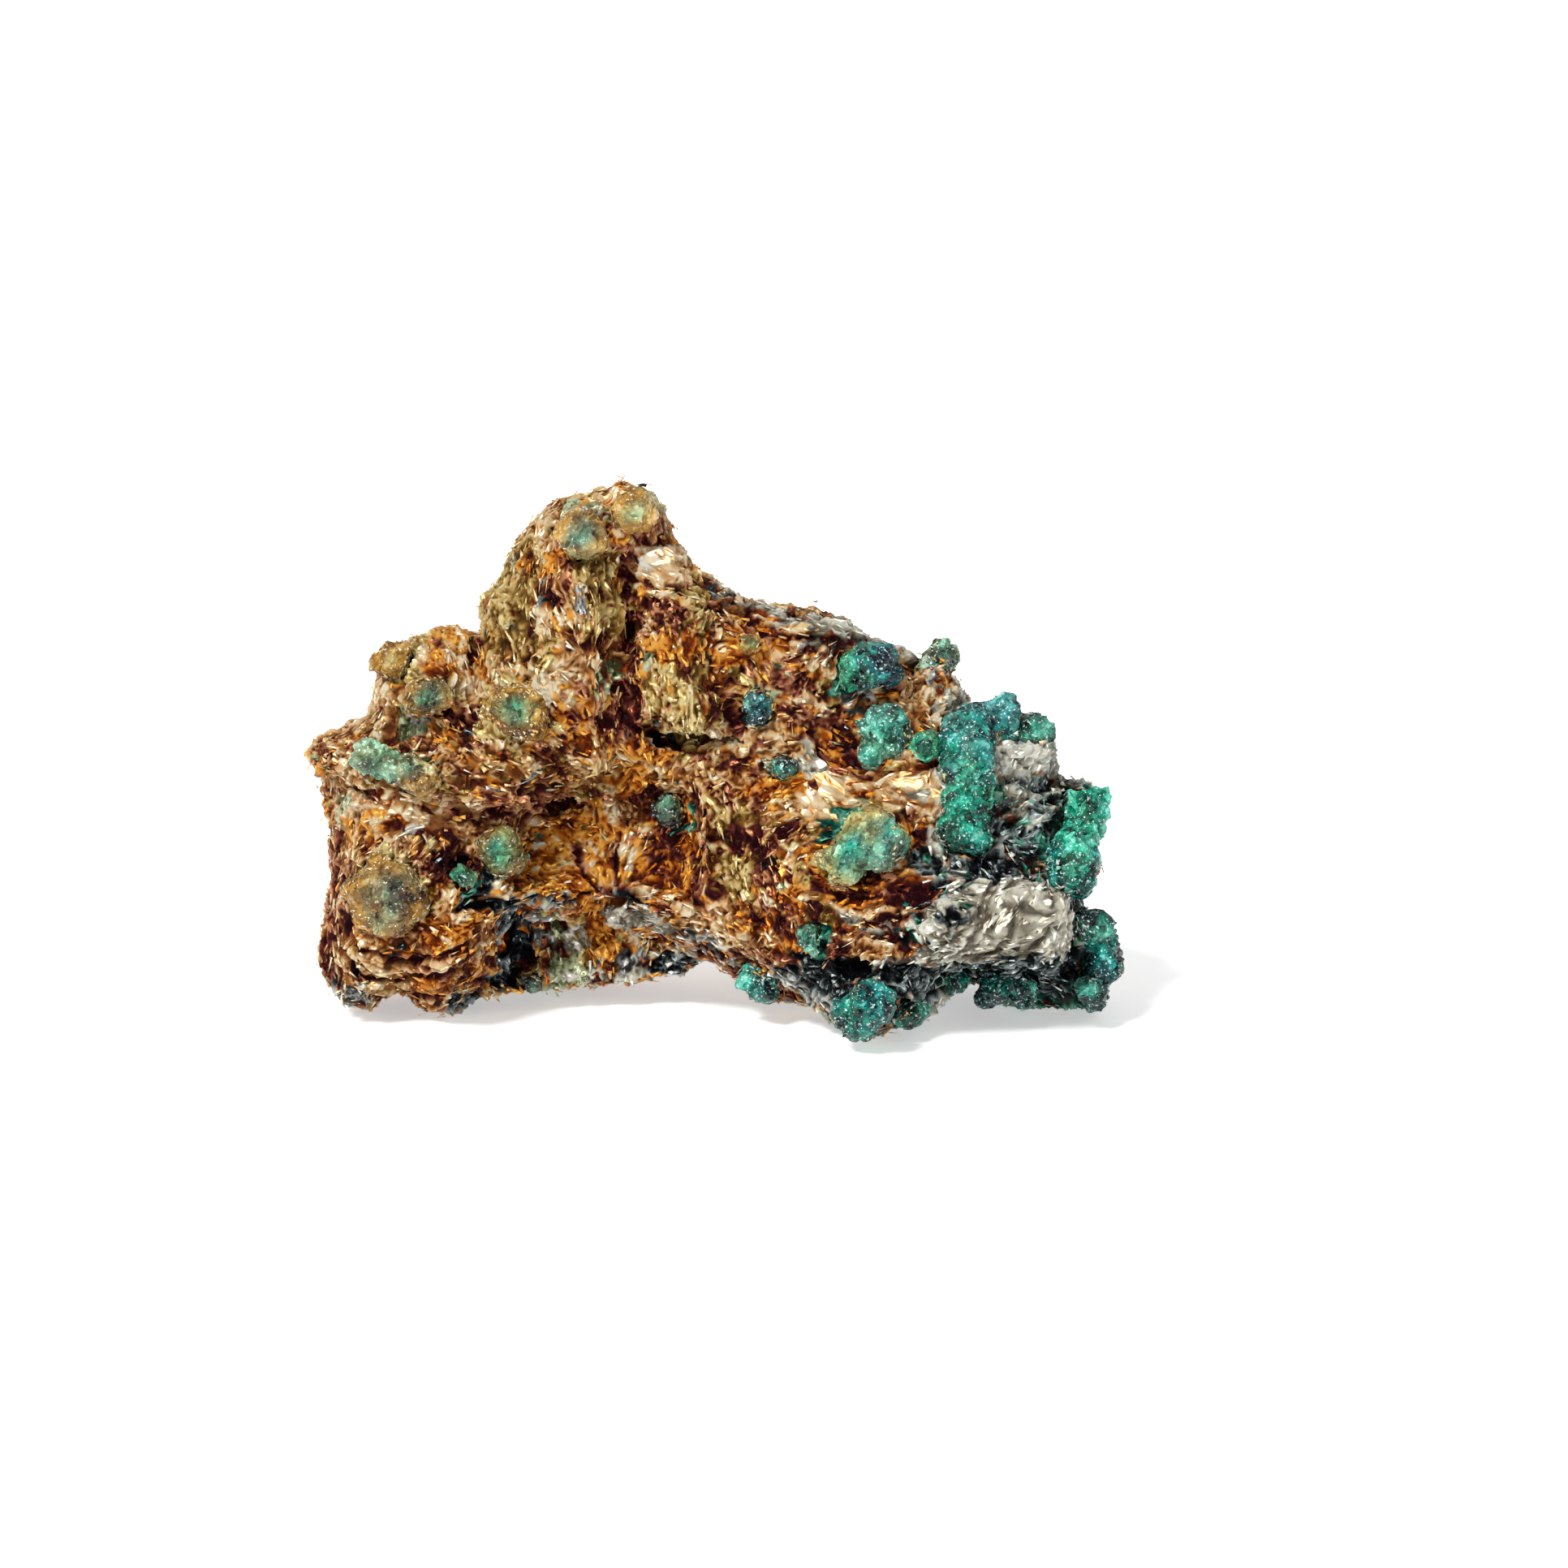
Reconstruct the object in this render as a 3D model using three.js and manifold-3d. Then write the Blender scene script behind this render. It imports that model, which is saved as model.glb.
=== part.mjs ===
// Emerald in matrix: a rough lump of mica schist with emerald crystals grown in it.
// Millimetres, +Z up. The lump stands on z = 0 and its show face looks towards -Y.
import * as THREE from 'three'
import { ConvexGeometry } from 'three/addons/geometries/ConvexGeometry.js'
import { mergeVertices } from 'three/addons/utils/BufferGeometryUtils.js'
import Module from 'manifold-3d'

const wasm = await Module()
wasm.setup()

// Driving dimensions
const REACH = 240 // longer than the lump in every direction, for the trimming bodies
const SHOW_TILT = THREE.MathUtils.degToRad(12) // the show face is seen from 12 degrees above level
const CRYSTAL_GAP = 0.3 // clearance between a crystal and its socket
const SHEET = [106, 74] // size of the two rough faces before they are trimmed to the outline
const FRONT_CELLS = [34, 24] // facets across and up the show face
const BACK_CELLS = [22, 15]
const SHEET_MIDDLE = [-1, 31]
const EDGE_ROUND = 11 // how far in from the outline the faces curve back
const EDGE_BLUNT = 0.14 // share of the thickness that is left at the outline
const FRONT_THICKNESS = 12
const BACK_THICKNESS = 14
const STONE_CORNERS = 18 // corner points of a ledge, block or pit
const ROD_OVERLAP = 0.4 // share of its radius by which a crystal's rod runs past its end points

// A place on the lump is given as [across, up], square to the show direction.
// Outline of the lump, clockwise from the peak.
const OUTLINE = [
  [-11.2, 65.2], [-7.2, 63.6], [-5.7, 60.6], [-4.7, 57.1], [-3.1, 55.0], [-1.2, 53.8], [2.3, 51.4],
  [4.0, 49.8], [7.8, 49.6], [12.8, 49.4], [16.3, 47.4], [20.8, 45.4], [24.6, 43.4],
  [26.4, 42.6], [29.6, 41.2], [30.4, 38.9], [31.8, 37.0], [33.0, 36.4], [36.6, 36.6], [40.2, 36.0],
  [41.8, 34.2], [42.2, 29.6], [44.6, 28.0], [47.2, 28.2], [48.4, 24.4], [47.4, 20.6], [48.0, 17.0],
  [46.8, 13.2], [48.2, 9.8], [49.6, 6.4], [48.8, 2.4], [48.2, -0.6], [41.4, -0.6], [36.2, 0.4],
  [32.3, 2.4], [29.2, 1.9], [25.4, -1.2], [22.8, -2.4], [18.0, -3.0], [15.0, -2.2], [13.6, -0.2],
  [7.8, 0.8], [3.2, 3.4], [-1.4, 6.2], [-3.7, 3.8], [-11.7, 3.2], [-20.7, 2.0], [-27.4, 1.5],
  [-30.2, -0.2], [-35.6, -0.8], [-38.9, 2.6], [-42.2, -0.3], [-45.7, 0.6], [-48.2, 4.2],
  [-48.4, 8.8], [-47.4, 17.0], [-47.2, 22.4], [-48.2, 26.4], [-47.8, 29.2], [-49.9, 31.2],
  [-48.6, 33.2], [-45.0, 34.6], [-41.6, 36.0], [-41.4, 42.6], [-38.6, 45.2], [-35.0, 46.2],
  [-31.8, 47.2], [-28.2, 45.8], [-28.4, 50.2], [-26.4, 52.8], [-24.2, 57.4], [-20.8, 60.8],
  [-19.0, 63.0], [-14.8, 62.8],
]

// Forms of the show face: middle, half-sizes, how far they rise, and how square their sides are.
const FRONT_FORMS = [
  { at: [26, 15], half: [25, 19], rise: 8, square: 1 }, // right lobe
  { at: [34, 11], half: [13, 7], rise: 3, square: 2 }, // white mica bulge
  { at: [-36, 15], half: [14, 19], rise: 4, square: 2 }, // left block
  { at: [-45, 32], half: [8, 4.5], rise: 3.5, square: 4 }, // left step
  { at: [-35, 39], half: [9, 9], rise: 2.5, square: 3 }, // left shoulder
  { at: [-29, 29], half: [12, 4.5], rise: 2.5, square: 2 }, // swirl ledge
  { at: [-19, 44], half: [10, 20], rise: 2.5, square: 3 }, // tower, left half
  { at: [-4, 46], half: [6, 11], rise: 1.5, square: 2 }, // tower, right half
  { at: [14, 38], half: [15, 9], rise: -2, square: 1 }, // high shoulder lies back
  { at: [-13, 22], half: [13, 10], rise: -5, square: 2 }, // middle hollow
  { at: [39, 25], half: [7, 7], rise: -2, square: 2 }, // dark mica hollow
  { at: [-15, 4], half: [14, 9.5], rise: -11, square: 5 }, // recess under the overhang
  { at: [-9.8, 45], half: [2.4, 12], rise: -4, square: 1 }, // crevice up the tower
  { at: [-28.4, 40], half: [2.4, 9], rise: -3, square: 1 }, // crevice behind the shoulder
]

// Forms of the back, which lies hidden behind the show face.
const BACK_FORMS = [
  { at: [-22, 16], half: [22, 17], rise: 5, square: 2 },
  { at: [20, 20], half: [22, 16], rise: 4, square: 2 },
  { at: [0, 36], half: [15, 12], rise: 3, square: 2 },
  { at: [-16, 50], half: [10, 14], rise: -2, square: 1 },
  { at: [2, 22], half: [5, 22], rise: -4, square: 2 },
  { at: [34, 10], half: [10, 9], rise: 3, square: 3 },
  { at: [-38, 30], half: [9, 7], rise: -4, square: 2 },
]

// Blocks and ledges of schist: middle, how far it stands out, half-sizes across, deep and up, lean.
const FRONT_STONES = [
  { at: [-3.5, 37.6], out: 2.4, half: [5.4, 4, 3.9], lean: [0, 4, -10], square: 7 }, // mica book
  { at: [1.5, 42.2], out: 1.6, half: [2.2, 2.6, 1.2], lean: [0, -10, 0] }, // plate above it
  { at: [-6.3, 54.6], out: 1.5, half: [3.4, 3.4, 2.4], lean: [0, -6, -20] }, // pale flaky block
  { at: [-24.6, 47.4], out: 1.6, half: [3, 3.8, 3.8], lean: [0, 3, 14], square: 6 },
  { at: [-31.6, 45], out: 1.2, half: [3.8, 5, 2.6], lean: [0, 0, 8] }, // shoulder top
  { at: [-45.4, 31.4], out: 1.6, half: [4.8, 5.4, 2.2], lean: [0, -14, 0] }, // left step
  { at: [-29.6, 27], out: 1.5, half: [8.6, 4, 2], lean: [0, 11, 0] }, // swirl ledge
  { at: [-24.4, 14], out: 1.6, half: [8.2, 5, 2], lean: [0, -8, 6] }, // overhang, left
  { at: [-9.4, 14.8], out: 1.8, half: [8.8, 5, 1.9], lean: [0, 4, -6] }, // overhang, right
  { at: [-7, 10.6], out: 1.2, half: [4.3, 4, 2.1], lean: [0, 10, 0] },
  { at: [-13.2, 7.4], out: 1.4, half: [1.9, 4, 3.4], lean: [0, 8, 0] },
  { at: [-20.4, 6.4], out: 1.4, half: [3.4, 4, 3.4], lean: [0, -12, 0] },
  { at: [-0.6, 18.8], out: 2, half: [1.3, 4, 6], lean: [0, -4, 0] }, // rib
  { at: [15.2, 27.4], out: 1.5, half: [3.9, 4, 2.2], lean: [0, 8, 0] }, // cream slabs
  { at: [22.8, 28.6], out: 1.4, half: [4.6, 4, 1.3], lean: [0, -20, 0] },
  { at: [4.8, 10.6], out: 1.7, half: [3.6, 4, 2.2], lean: [0, 12, 0] },
  { at: [29.2, 11.2], out: 1.8, half: [4.4, 4, 3.2], lean: [0, 14, 8] }, // white bulge
  { at: [37.4, 12.4], out: 2, half: [5.6, 4, 3.6], lean: [0, -12, -8] },
  { at: [27.6, 39.6], out: 1.4, half: [3.2, 4, 3.2], lean: [0, 24, 0] },
  { at: [37.6, 31], out: 1.4, half: [4, 4, 2.8], lean: [0, 10, 0] },
  { at: [38.6, 23], out: 1.2, half: [3.6, 4, 3.6], lean: [0, -16, 0] },
  { at: [10.4, 46.4], out: 1.2, half: [5, 4, 1.8], lean: [0, 8, 0] },
  { at: [-32, 8], out: 1.2, half: [4.4, 4, 2.2], lean: [0, -28, 0] }, // curved layers
  { at: [-43.4, 3], out: 1.2, half: [3.4, 3, 1.9], lean: [0, 4, 0] }, // left foot
  { at: [-15.6, 31.4], out: 1.4, half: [4.2, 4, 1.9], lean: [0, 16, 0] },
  { at: [8.4, 20], out: 1.5, half: [3.8, 4, 2.6], lean: [0, 30, 0] },
]

const BACK_STONES = [
  { at: [-34, 20], out: 1.6, half: [7, 5, 4], lean: [0, 20, 0] },
  { at: [-18, 9], out: 1.8, half: [8, 5, 3.4], lean: [0, -8, 0] },
  { at: [-14, 52], out: 1.6, half: [5, 4, 4], lean: [0, -20, 0] },
  { at: [14, 33], out: 1.8, half: [7, 5, 3.4], lean: [0, 14, 0] },
  { at: [24, 10], out: 1.8, half: [7, 5, 4], lean: [0, 6, 0] },
]

// Cracks and hollows cut into the show face: middle, half-sizes across, deep and up, lean.
const FRONT_PITS = [
  { at: [-1.6, 33], half: [7.4, 3.4, 1], lean: [0, 2, 0] }, // under the mica book
  { at: [-18, 24.8], half: [2.6, 3, 0.9], lean: [0, 8, 0] },
  { at: [36, 7.4], half: [9.6, 3.4, 1.2], lean: [0, -16, 0] }, // under the white bulge
  { at: [16.8, 5.6], half: [2.8, 3.2, 1.5], lean: [0, 0, 0] },
  { at: [-24.9, 8.6], half: [1.3, 3.2, 2.8], lean: [0, 10, 0] },
  { at: [-43.6, 27], half: [4.4, 2.6, 0.9], lean: [0, 10, 0] },
]

// Hollows under the lump, which leave it standing on its feet: [across, deep, up].
const UNDERCUTS = [
  { at: [-14, 1, 0], half: [15, 13, 3.6] },
  { at: [6, 2, 0], half: [11, 10, 2.8] },
  { at: [29, 4, 0], half: [7, 13, 2.4] },
]

// Lumps low on the back that reach the ground again: [across, deep, up].
const HIND_FEET = [
  { at: [-18, 13, 3.6], half: [7, 6.5, 6] },
  { at: [14, 13, 3.8], half: [8, 6.5, 6.4] },
]

// Emeralds. Each runs along a line of points, [across, up, how far its axis stands out].
// Those that grew together are one crystal of several rods.
const EMERALDS = [
  {
    name: 'emerald_arch_right',
    line: [[35.8, 35.3, 0.3], [32.4, 35, 1.2], [30.8, 31, 1.4], [31.2, 25.6, 1.2], [30, 20.8, 0.6]],
    radius: 3,
  },
  { name: 'emerald_right_shoulder', line: [[39.3, 34.7, 0.8], [40.9, 34.3, 0.6]], radius: 1.5 },
  {
    name: 'emerald_right_edge',
    line: [[46.2, 26.4, 0.2], [46.2, 22.6, 0.4], [44.2, 19.8, 1], [43.4, 16, 0.8]],
    radius: 2.8,
  },
  { name: 'emerald_rounded_upper', line: [[19.6, 33, 0.6], [22.2, 33.8, 0.6]], radius: 3 },
  { name: 'emerald_bright_upper', line: [[25.7, 32.2, 0.5], [27.2, 32.5, 0.3]], radius: 1.6 },
  {
    name: 'emerald_dark_ridge',
    line: [[16.6, 41.2, 0.4], [19, 41.6, 0.4], [21.4, 42.2, 0.4]],
    radius: 2.5,
  },
  { name: 'emerald_stub_on_ridge', line: [[26.6, 41, -2], [29.1, 44.2, -1.4]], radius: 1.8 },
  {
    name: 'emerald_lower_right',
    line: [[46.4, 10.6, 0.2], [47.6, 7.4, 0.3], [48, 4.8, 0]],
    radius: 2.4,
  },
  { name: 'emerald_bottom_right', line: [[34.4, 2.8, 0.6], [38.4, 2.2, 0.8]], radius: 2.4 },
  { name: 'emerald_bottom_corner', line: [[45, 3.4, 0.7], [46.8, 1.2, 0.4]], radius: 1.6 },
  { name: 'emerald_bottom_middle', line: [[19.2, 1.8, 0.8], [17.4, -0.8, 0.6]], radius: 2.3 },
  { name: 'emerald_bottom_small', line: [[23.6, -0.2, 0.5], [25.2, -0.1, 0.4]], radius: 1.2 },
  { name: 'emerald_low_small', line: [[29.2, 3.6, 0.5], [30.6, 3.9, 0.4]], radius: 1.1 },
  { name: 'emerald_bottom_edge', line: [[5, 3.4, 0.2], [7.2, 2.2, 0.2]], radius: 1.4 },
  {
    name: 'emerald_cluster_middle',
    line: [[14.8, 17.2, 0.5], [17.4, 18.8, 0.8], [18.2, 22.6, 0.8], [21.8, 19.6, 1]],
    radius: 2.6,
  },
  { name: 'emerald_blue_middle', line: [[5.5, 38.2, 0.4], [6, 35.8, 0.4]], radius: 1.8 },
  { name: 'emerald_flat_dark', line: [[6.6, 30, 0.3], [9.4, 29.5, 0.3]], radius: 1.1 },
  { name: 'emerald_wedge_low', line: [[11.6, 9.6, 0.5], [12.3, 7.6, 0.4]], radius: 1.3 },
  { name: 'emerald_pale_prism_left', line: [[-42, 31.3, 1.9], [-33.8, 27.9, 1.1]], radius: 1.7 },
  { name: 'emerald_olive_lump_left', line: [[-23.6, 38.4, 0.4], [-22, 34.6, 0.5]], radius: 2.6 },
  { name: 'emerald_olive_prism_end', line: [[-38.8, 13.8, -4], [-39.4, 14.4, 0.6]], radius: 4.9 },
  { name: 'emerald_sheen_left', line: [[-26.2, 20.4, 0.9], [-25, 17.8, 0.9]], radius: 2 },
  { name: 'emerald_small_left', line: [[-30.2, 17.2, 0.4], [-29.2, 16.2, 0.4]], radius: 1.3 },
  { name: 'emerald_small_centre', line: [[-5.6, 25.2, 0.3], [-5, 23.2, 0.3]], radius: 1.4 },
  { name: 'emerald_peak', line: [[-10, 61, 0.4], [-8, 60.8, 0.4]], radius: 1.9 },
  { name: 'emerald_upper_tower', line: [[-16.2, 58.8, 0.2], [-14.4, 56.6, 0.2]], radius: 2 },
  { name: 'emerald_shoulder_left', line: [[-39.4, 42.6, 0.2], [-37.4, 43, 0.2]], radius: 1.7 },
  { name: 'emerald_shoulder_low', line: [[-35.6, 38.4, 0.3], [-33, 37.6, 0.3]], radius: 1.8 },
  { name: 'emerald_bottom_left', line: [[-23.6, 3.8, 0.5], [-22.4, 3.2, 0.5]], radius: 1.1 },
  { name: 'emerald_crest_small', line: [[4.2, 44.9, 0.3], [5.6, 44.6, 0.3]], radius: 1 },
  { name: 'emerald_back_left', line: [[-31, 26, 0.8], [-25, 22, 0.8]], radius: 2.4, back: true },
  { name: 'emerald_back_upper', line: [[-12, 44, 0.4], [-9, 40.6, 0.4]], radius: 2, back: true },
  { name: 'emerald_back_middle', line: [[6, 27, 0.7], [10.4, 25, 0.7]], radius: 2.2, back: true },
  {
    name: 'emerald_back_right',
    line: [[32, 22, 0.8], [34.4, 18.6, 1], [34, 15, 0.7]],
    radius: 2.4,
    back: true,
  },
  { name: 'emerald_back_low', line: [[12, 9, 0.6], [15, 6.6, 0.6]], radius: 1.9, back: true },
]

function random(seed) {
  let state = seed
  return () => {
    state = (state + 0x6d2b79f5) | 0
    let t = Math.imul(state ^ (state >>> 15), 1 | state)
    t = (t + Math.imul(t ^ (t >>> 7), 61 | t)) ^ t
    return ((t ^ (t >>> 14)) >>> 0) / 4294967296
  }
}

// Smooth random heights from -1 to 1 over the face, with a new value every `step` mm.
function roughness(seed, step) {
  const value = (i, j) => random(seed + i * 7919 + j * 104729)() * 2 - 1
  return (x, v) => {
    const [i, j] = [Math.floor(x / step), Math.floor(v / step)]
    const [s, t] = [x / step - i, v / step - j].map((part) => part * part * (3 - 2 * part))
    const low = THREE.MathUtils.lerp(value(i, j), value(i + 1, j), s)
    const high = THREE.MathUtils.lerp(value(i, j + 1), value(i + 1, j + 1), s)
    return THREE.MathUtils.lerp(low, high, t)
  }
}

const frontWaves = roughness(3, 9)
const frontLumps = roughness(5, 4.2)
const backWaves = roughness(7, 10)
const backLumps = roughness(9, 4.6)

function insetFrom(x, v) {
  const point = new THREE.Vector3(x, v, 0)
  const nearest = new THREE.Vector3()
  return Math.min(...OUTLINE.map(([ax, av], i) => {
    const [bx, bv] = OUTLINE[(i + 1) % OUTLINE.length]
    const side = new THREE.Line3(new THREE.Vector3(ax, av, 0), new THREE.Vector3(bx, bv, 0))
    return side.closestPointToPoint(point, true, nearest).distanceTo(point)
  }))
}

function isInside(x, v) {
  let inside = false
  OUTLINE.forEach(([ax, av], i) => {
    const [bx, bv] = OUTLINE[(i + 1) % OUTLINE.length]
    if (av > v !== bv > v && x < ax + ((v - av) * (bx - ax)) / (bv - av)) {
      inside = !inside
    }
  })
  return inside
}

// Depth of the sheet through the lump where front and back would meet.
function middleDepth(x, v) {
  const foot = Math.exp(-(((x - 18) / 9) ** 2)) * THREE.MathUtils.smoothstep(12 - v, 0, 12)
  return THREE.MathUtils.lerp(-3, 3, THREE.MathUtils.smoothstep(v, 0, 24)) - 10 * foot
}

function risen(forms, x, v) {
  return forms.reduce((sum, { at, half, rise, square }) => {
    const away = ((x - at[0]) / half[0]) ** 2 + ((v - at[1]) / half[1]) ** 2
    return sum + (away < 1 ? rise * (1 - away ** square) ** 1.2 : 0)
  }, 0)
}

function curve(x, v) {
  const inset = isInside(x, v) ? Math.min(insetFrom(x, v) / EDGE_ROUND, 1) : 0
  return EDGE_BLUNT + (1 - EDGE_BLUNT) * Math.sqrt(1 - (1 - inset) ** 2)
}

function frontDepth(x, v) {
  const height = FRONT_THICKNESS + risen(FRONT_FORMS, x, v)
  return middleDepth(x, v) - curve(x, v) * height - 1.3 * frontWaves(x, v) - 0.8 * frontLumps(x, v)
}

function backDepth(x, v) {
  const height = BACK_THICKNESS + risen(BACK_FORMS, x, v)
  return middleDepth(x, v) + curve(x, v) * height + 1.8 * backWaves(x, v) + 0.9 * backLumps(x, v)
}

function place(x, v, depth) {
  const height = (v - depth * Math.sin(SHOW_TILT)) / Math.cos(SHOW_TILT)
  return new THREE.Vector3(x, depth, height)
}

function solid(geometry) {
  const bare = geometry.clone()
  bare.deleteAttribute('normal')
  bare.deleteAttribute('uv')
  const merged = mergeVertices(bare, 1e-4)
  return new wasm.Manifold(new wasm.Mesh({
    numProp: 3,
    vertProperties: new Float32Array(merged.attributes.position.array),
    triVerts: new Uint32Array(merged.index.array),
  }))
}

function geometryOf(manifold) {
  const mesh = manifold.getMesh()
  const geometry = new THREE.BufferGeometry()
  geometry.setAttribute('position', new THREE.BufferAttribute(mesh.vertProperties, 3))
  geometry.setIndex(new THREE.BufferAttribute(mesh.triVerts, 1))
  geometry.computeVertexNormals()
  return geometry
}

// A thick block whose one face is pushed to its depths, and whose other lies far behind it.
function roughBlock([across, up], depthAt, behind, seed) {
  const block = new THREE.BoxGeometry(SHEET[0], SHEET[1], 2, across, up, 1)
  const cell = SHEET[0] / across
  const [shiftX, shiftV] = [seed, seed + 1].map((own) => roughness(own, cell * 0.6))
  const corner = block.attributes.position
  for (let i = 0; i < corner.count; i++) {
    const [flatX, flatV] = [corner.getX(i), corner.getY(i)]
    const isRim = Math.abs(flatX) > SHEET[0] / 2 - 0.1 || Math.abs(flatV) > SHEET[1] / 2 - 0.1
    const jitter = isRim ? 0 : 0.42 * cell
    const x = flatX + SHEET_MIDDLE[0] + jitter * shiftX(flatX, flatV)
    const v = flatV + SHEET_MIDDLE[1] + jitter * shiftV(flatX, flatV)
    const isFace = corner.getZ(i) > 0 === behind > 0
    const point = place(x, v, isFace ? depthAt(x, v) : behind)
    corner.setXYZ(i, point.x, point.y, point.z)
  }
  return solid(block)
}

function outlineBody() {
  const shape = new THREE.Shape(OUTLINE.map(([across, up]) => new THREE.Vector2(across, up)))
  const body = new THREE.ExtrudeGeometry(shape, { depth: REACH, bevelEnabled: false })
  body.translate(0, 0, -REACH / 2)
  body.rotateX(Math.PI / 2 - SHOW_TILT)
  return solid(body)
}

// An angular stone: the hull of points spread over a rounded block, each pulled in a little.
function stone(middle, { half, lean = [0, 0, 0], square = 3, rough = 0.14 }, seed) {
  const next = random(seed)
  const turn = new THREE.Euler(...lean.map(THREE.MathUtils.degToRad))
  const points = []
  for (let i = 0; i < STONE_CORNERS; i++) {
    const up = 1 - (2 * (i + 0.5)) / STONE_CORNERS
    const around = i * 2.4 + next() * 0.9
    const ring = Math.sqrt(1 - up * up)
    const way = new THREE.Vector3(ring * Math.cos(around), ring * Math.sin(around), up)
    const spread = Math.abs(way.x) ** square + Math.abs(way.y) ** square + Math.abs(way.z) ** square
    way.multiplyScalar((1 - rough * next()) / spread ** (1 / square))
    way.multiply(new THREE.Vector3(...half))
    points.push(way.applyEuler(turn).add(middle))
  }
  return solid(new ConvexGeometry(points))
}

const groundBox = new THREE.BoxGeometry(REACH, REACH, REACH)
groundBox.translate(0, 0, -REACH / 2)
const ground = solid(groundBox)

function schist() {
  const showFace = roughBlock(FRONT_CELLS, frontDepth, REACH / 4, 11)
  const backFace = roughBlock(BACK_CELLS, backDepth, -REACH / 4, 21)
  let lump = showFace.intersect(backFace)
  FRONT_STONES.forEach((block, i) => {
    const depth = frontDepth(...block.at) - block.out + block.half[1]
    lump = lump.add(stone(place(...block.at, depth), block, 101 + i))
  })
  BACK_STONES.forEach((block, i) => {
    const depth = backDepth(...block.at) + block.out - block.half[1]
    lump = lump.add(stone(place(...block.at, depth), block, 201 + i))
  })
  FRONT_PITS.forEach((pit, i) => {
    lump = lump.subtract(stone(place(...pit.at, frontDepth(...pit.at)), pit, 301 + i))
  })
  UNDERCUTS.forEach((hollow, i) => {
    lump = lump.subtract(stone(new THREE.Vector3(...hollow.at), hollow, 401 + i))
  })
  HIND_FEET.forEach((foot, i) => {
    lump = lump.add(stone(new THREE.Vector3(...foot.at), foot, 501 + i))
  })
  return lump.intersect(outlineBody()).subtract(ground)
}

// One six-sided rod with a chipped far end; `grown` makes it larger all round, for its socket.
function rod(from, to, radius, grown, seed) {
  const next = random(seed)
  const axis = to.clone().sub(from).normalize()
  const side = new THREE.Vector3(0.3, 1, 0.2).cross(axis).normalize()
  const other = axis.clone().cross(side)
  const chip = 0.3 * radius
  const points = []
  for (let k = 0; k < 6; k++) {
    const around = (k * Math.PI) / 3
    const reach = (radius + 1.16 * grown) * (0.9 + 0.16 * next())
    const way = side.clone().multiplyScalar(Math.cos(around)).addScaledVector(other, Math.sin(around))
    const ends = [from, to].map((end, i) => {
      const past = (ROD_OVERLAP - 0.3 * next()) * radius + grown
      return end.clone().addScaledVector(axis, i ? past : -past)
    })
    points.push(ends[0].clone().addScaledVector(way, reach))
    points.push(ends[1].clone().addScaledVector(axis, -chip).addScaledVector(way, reach))
    points.push(ends[1].clone().addScaledVector(way, 0.7 * reach))
  }
  return solid(new ConvexGeometry(points))
}

function emerald({ line, radius, back }, grown, seed) {
  const spots = line.map(([x, v, out]) => (
    place(x, v, back ? backDepth(x, v) + out : frontDepth(x, v) - out)
  ))
  let body = rod(spots[0], spots[1], radius, grown, seed)
  for (let i = 2; i < spots.length; i++) {
    body = body.add(rod(spots[i - 1], spots[i], radius, grown, seed + i))
  }
  return body
}

const group = new THREE.Group()

function addPiece(name, body, color, roughness) {
  const material = new THREE.MeshStandardMaterial({ color, roughness, metalness: 0 })
  const mesh = new THREE.Mesh(geometryOf(body), material)
  mesh.name = name
  group.add(mesh)
}

let matrix = schist()
EMERALDS.forEach((crystal, i) => {
  const seed = 1001 + i * 10
  matrix = matrix.subtract(emerald(crystal, CRYSTAL_GAP, seed))
  addPiece(crystal.name, emerald(crystal, 0, seed).subtract(ground), 0x1f8f6a, 0.35)
})
addPiece('matrix', matrix, 0xb88a5c, 0.7)

// The origin is the middle of the ground that the lump covers.
const middle = new THREE.Box3().setFromObject(group).getCenter(new THREE.Vector3())
group.position.set(-middle.x, -middle.y, 0)

export default group
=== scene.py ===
"""Emerald in matrix: a hand-sized lump of mica schist with emerald crystals grown in it.

Sizes are in millimetres and turned to metres where a mesh is made. A place on the show face is
(across, up), square to the direction the face is seen from.
"""

import math

import bpy
import numpy as np
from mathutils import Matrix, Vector, kdtree


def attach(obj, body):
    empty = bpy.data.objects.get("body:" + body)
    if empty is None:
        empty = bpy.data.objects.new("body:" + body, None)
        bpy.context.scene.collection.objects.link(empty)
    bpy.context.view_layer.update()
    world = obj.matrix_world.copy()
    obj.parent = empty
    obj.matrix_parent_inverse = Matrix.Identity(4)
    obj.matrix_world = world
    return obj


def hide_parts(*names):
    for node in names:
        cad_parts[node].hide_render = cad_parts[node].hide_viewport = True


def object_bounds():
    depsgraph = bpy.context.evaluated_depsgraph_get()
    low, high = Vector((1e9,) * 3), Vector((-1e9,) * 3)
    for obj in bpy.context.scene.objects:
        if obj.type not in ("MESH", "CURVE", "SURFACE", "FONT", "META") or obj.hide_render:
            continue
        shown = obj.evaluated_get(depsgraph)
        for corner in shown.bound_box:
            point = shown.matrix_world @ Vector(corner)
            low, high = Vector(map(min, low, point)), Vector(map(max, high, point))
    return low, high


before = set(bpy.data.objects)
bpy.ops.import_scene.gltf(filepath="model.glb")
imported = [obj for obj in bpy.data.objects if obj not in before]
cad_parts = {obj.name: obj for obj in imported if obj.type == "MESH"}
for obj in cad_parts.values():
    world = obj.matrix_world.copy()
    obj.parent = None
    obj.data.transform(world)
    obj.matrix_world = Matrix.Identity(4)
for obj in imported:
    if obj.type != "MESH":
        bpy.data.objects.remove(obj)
cad_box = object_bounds()

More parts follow.
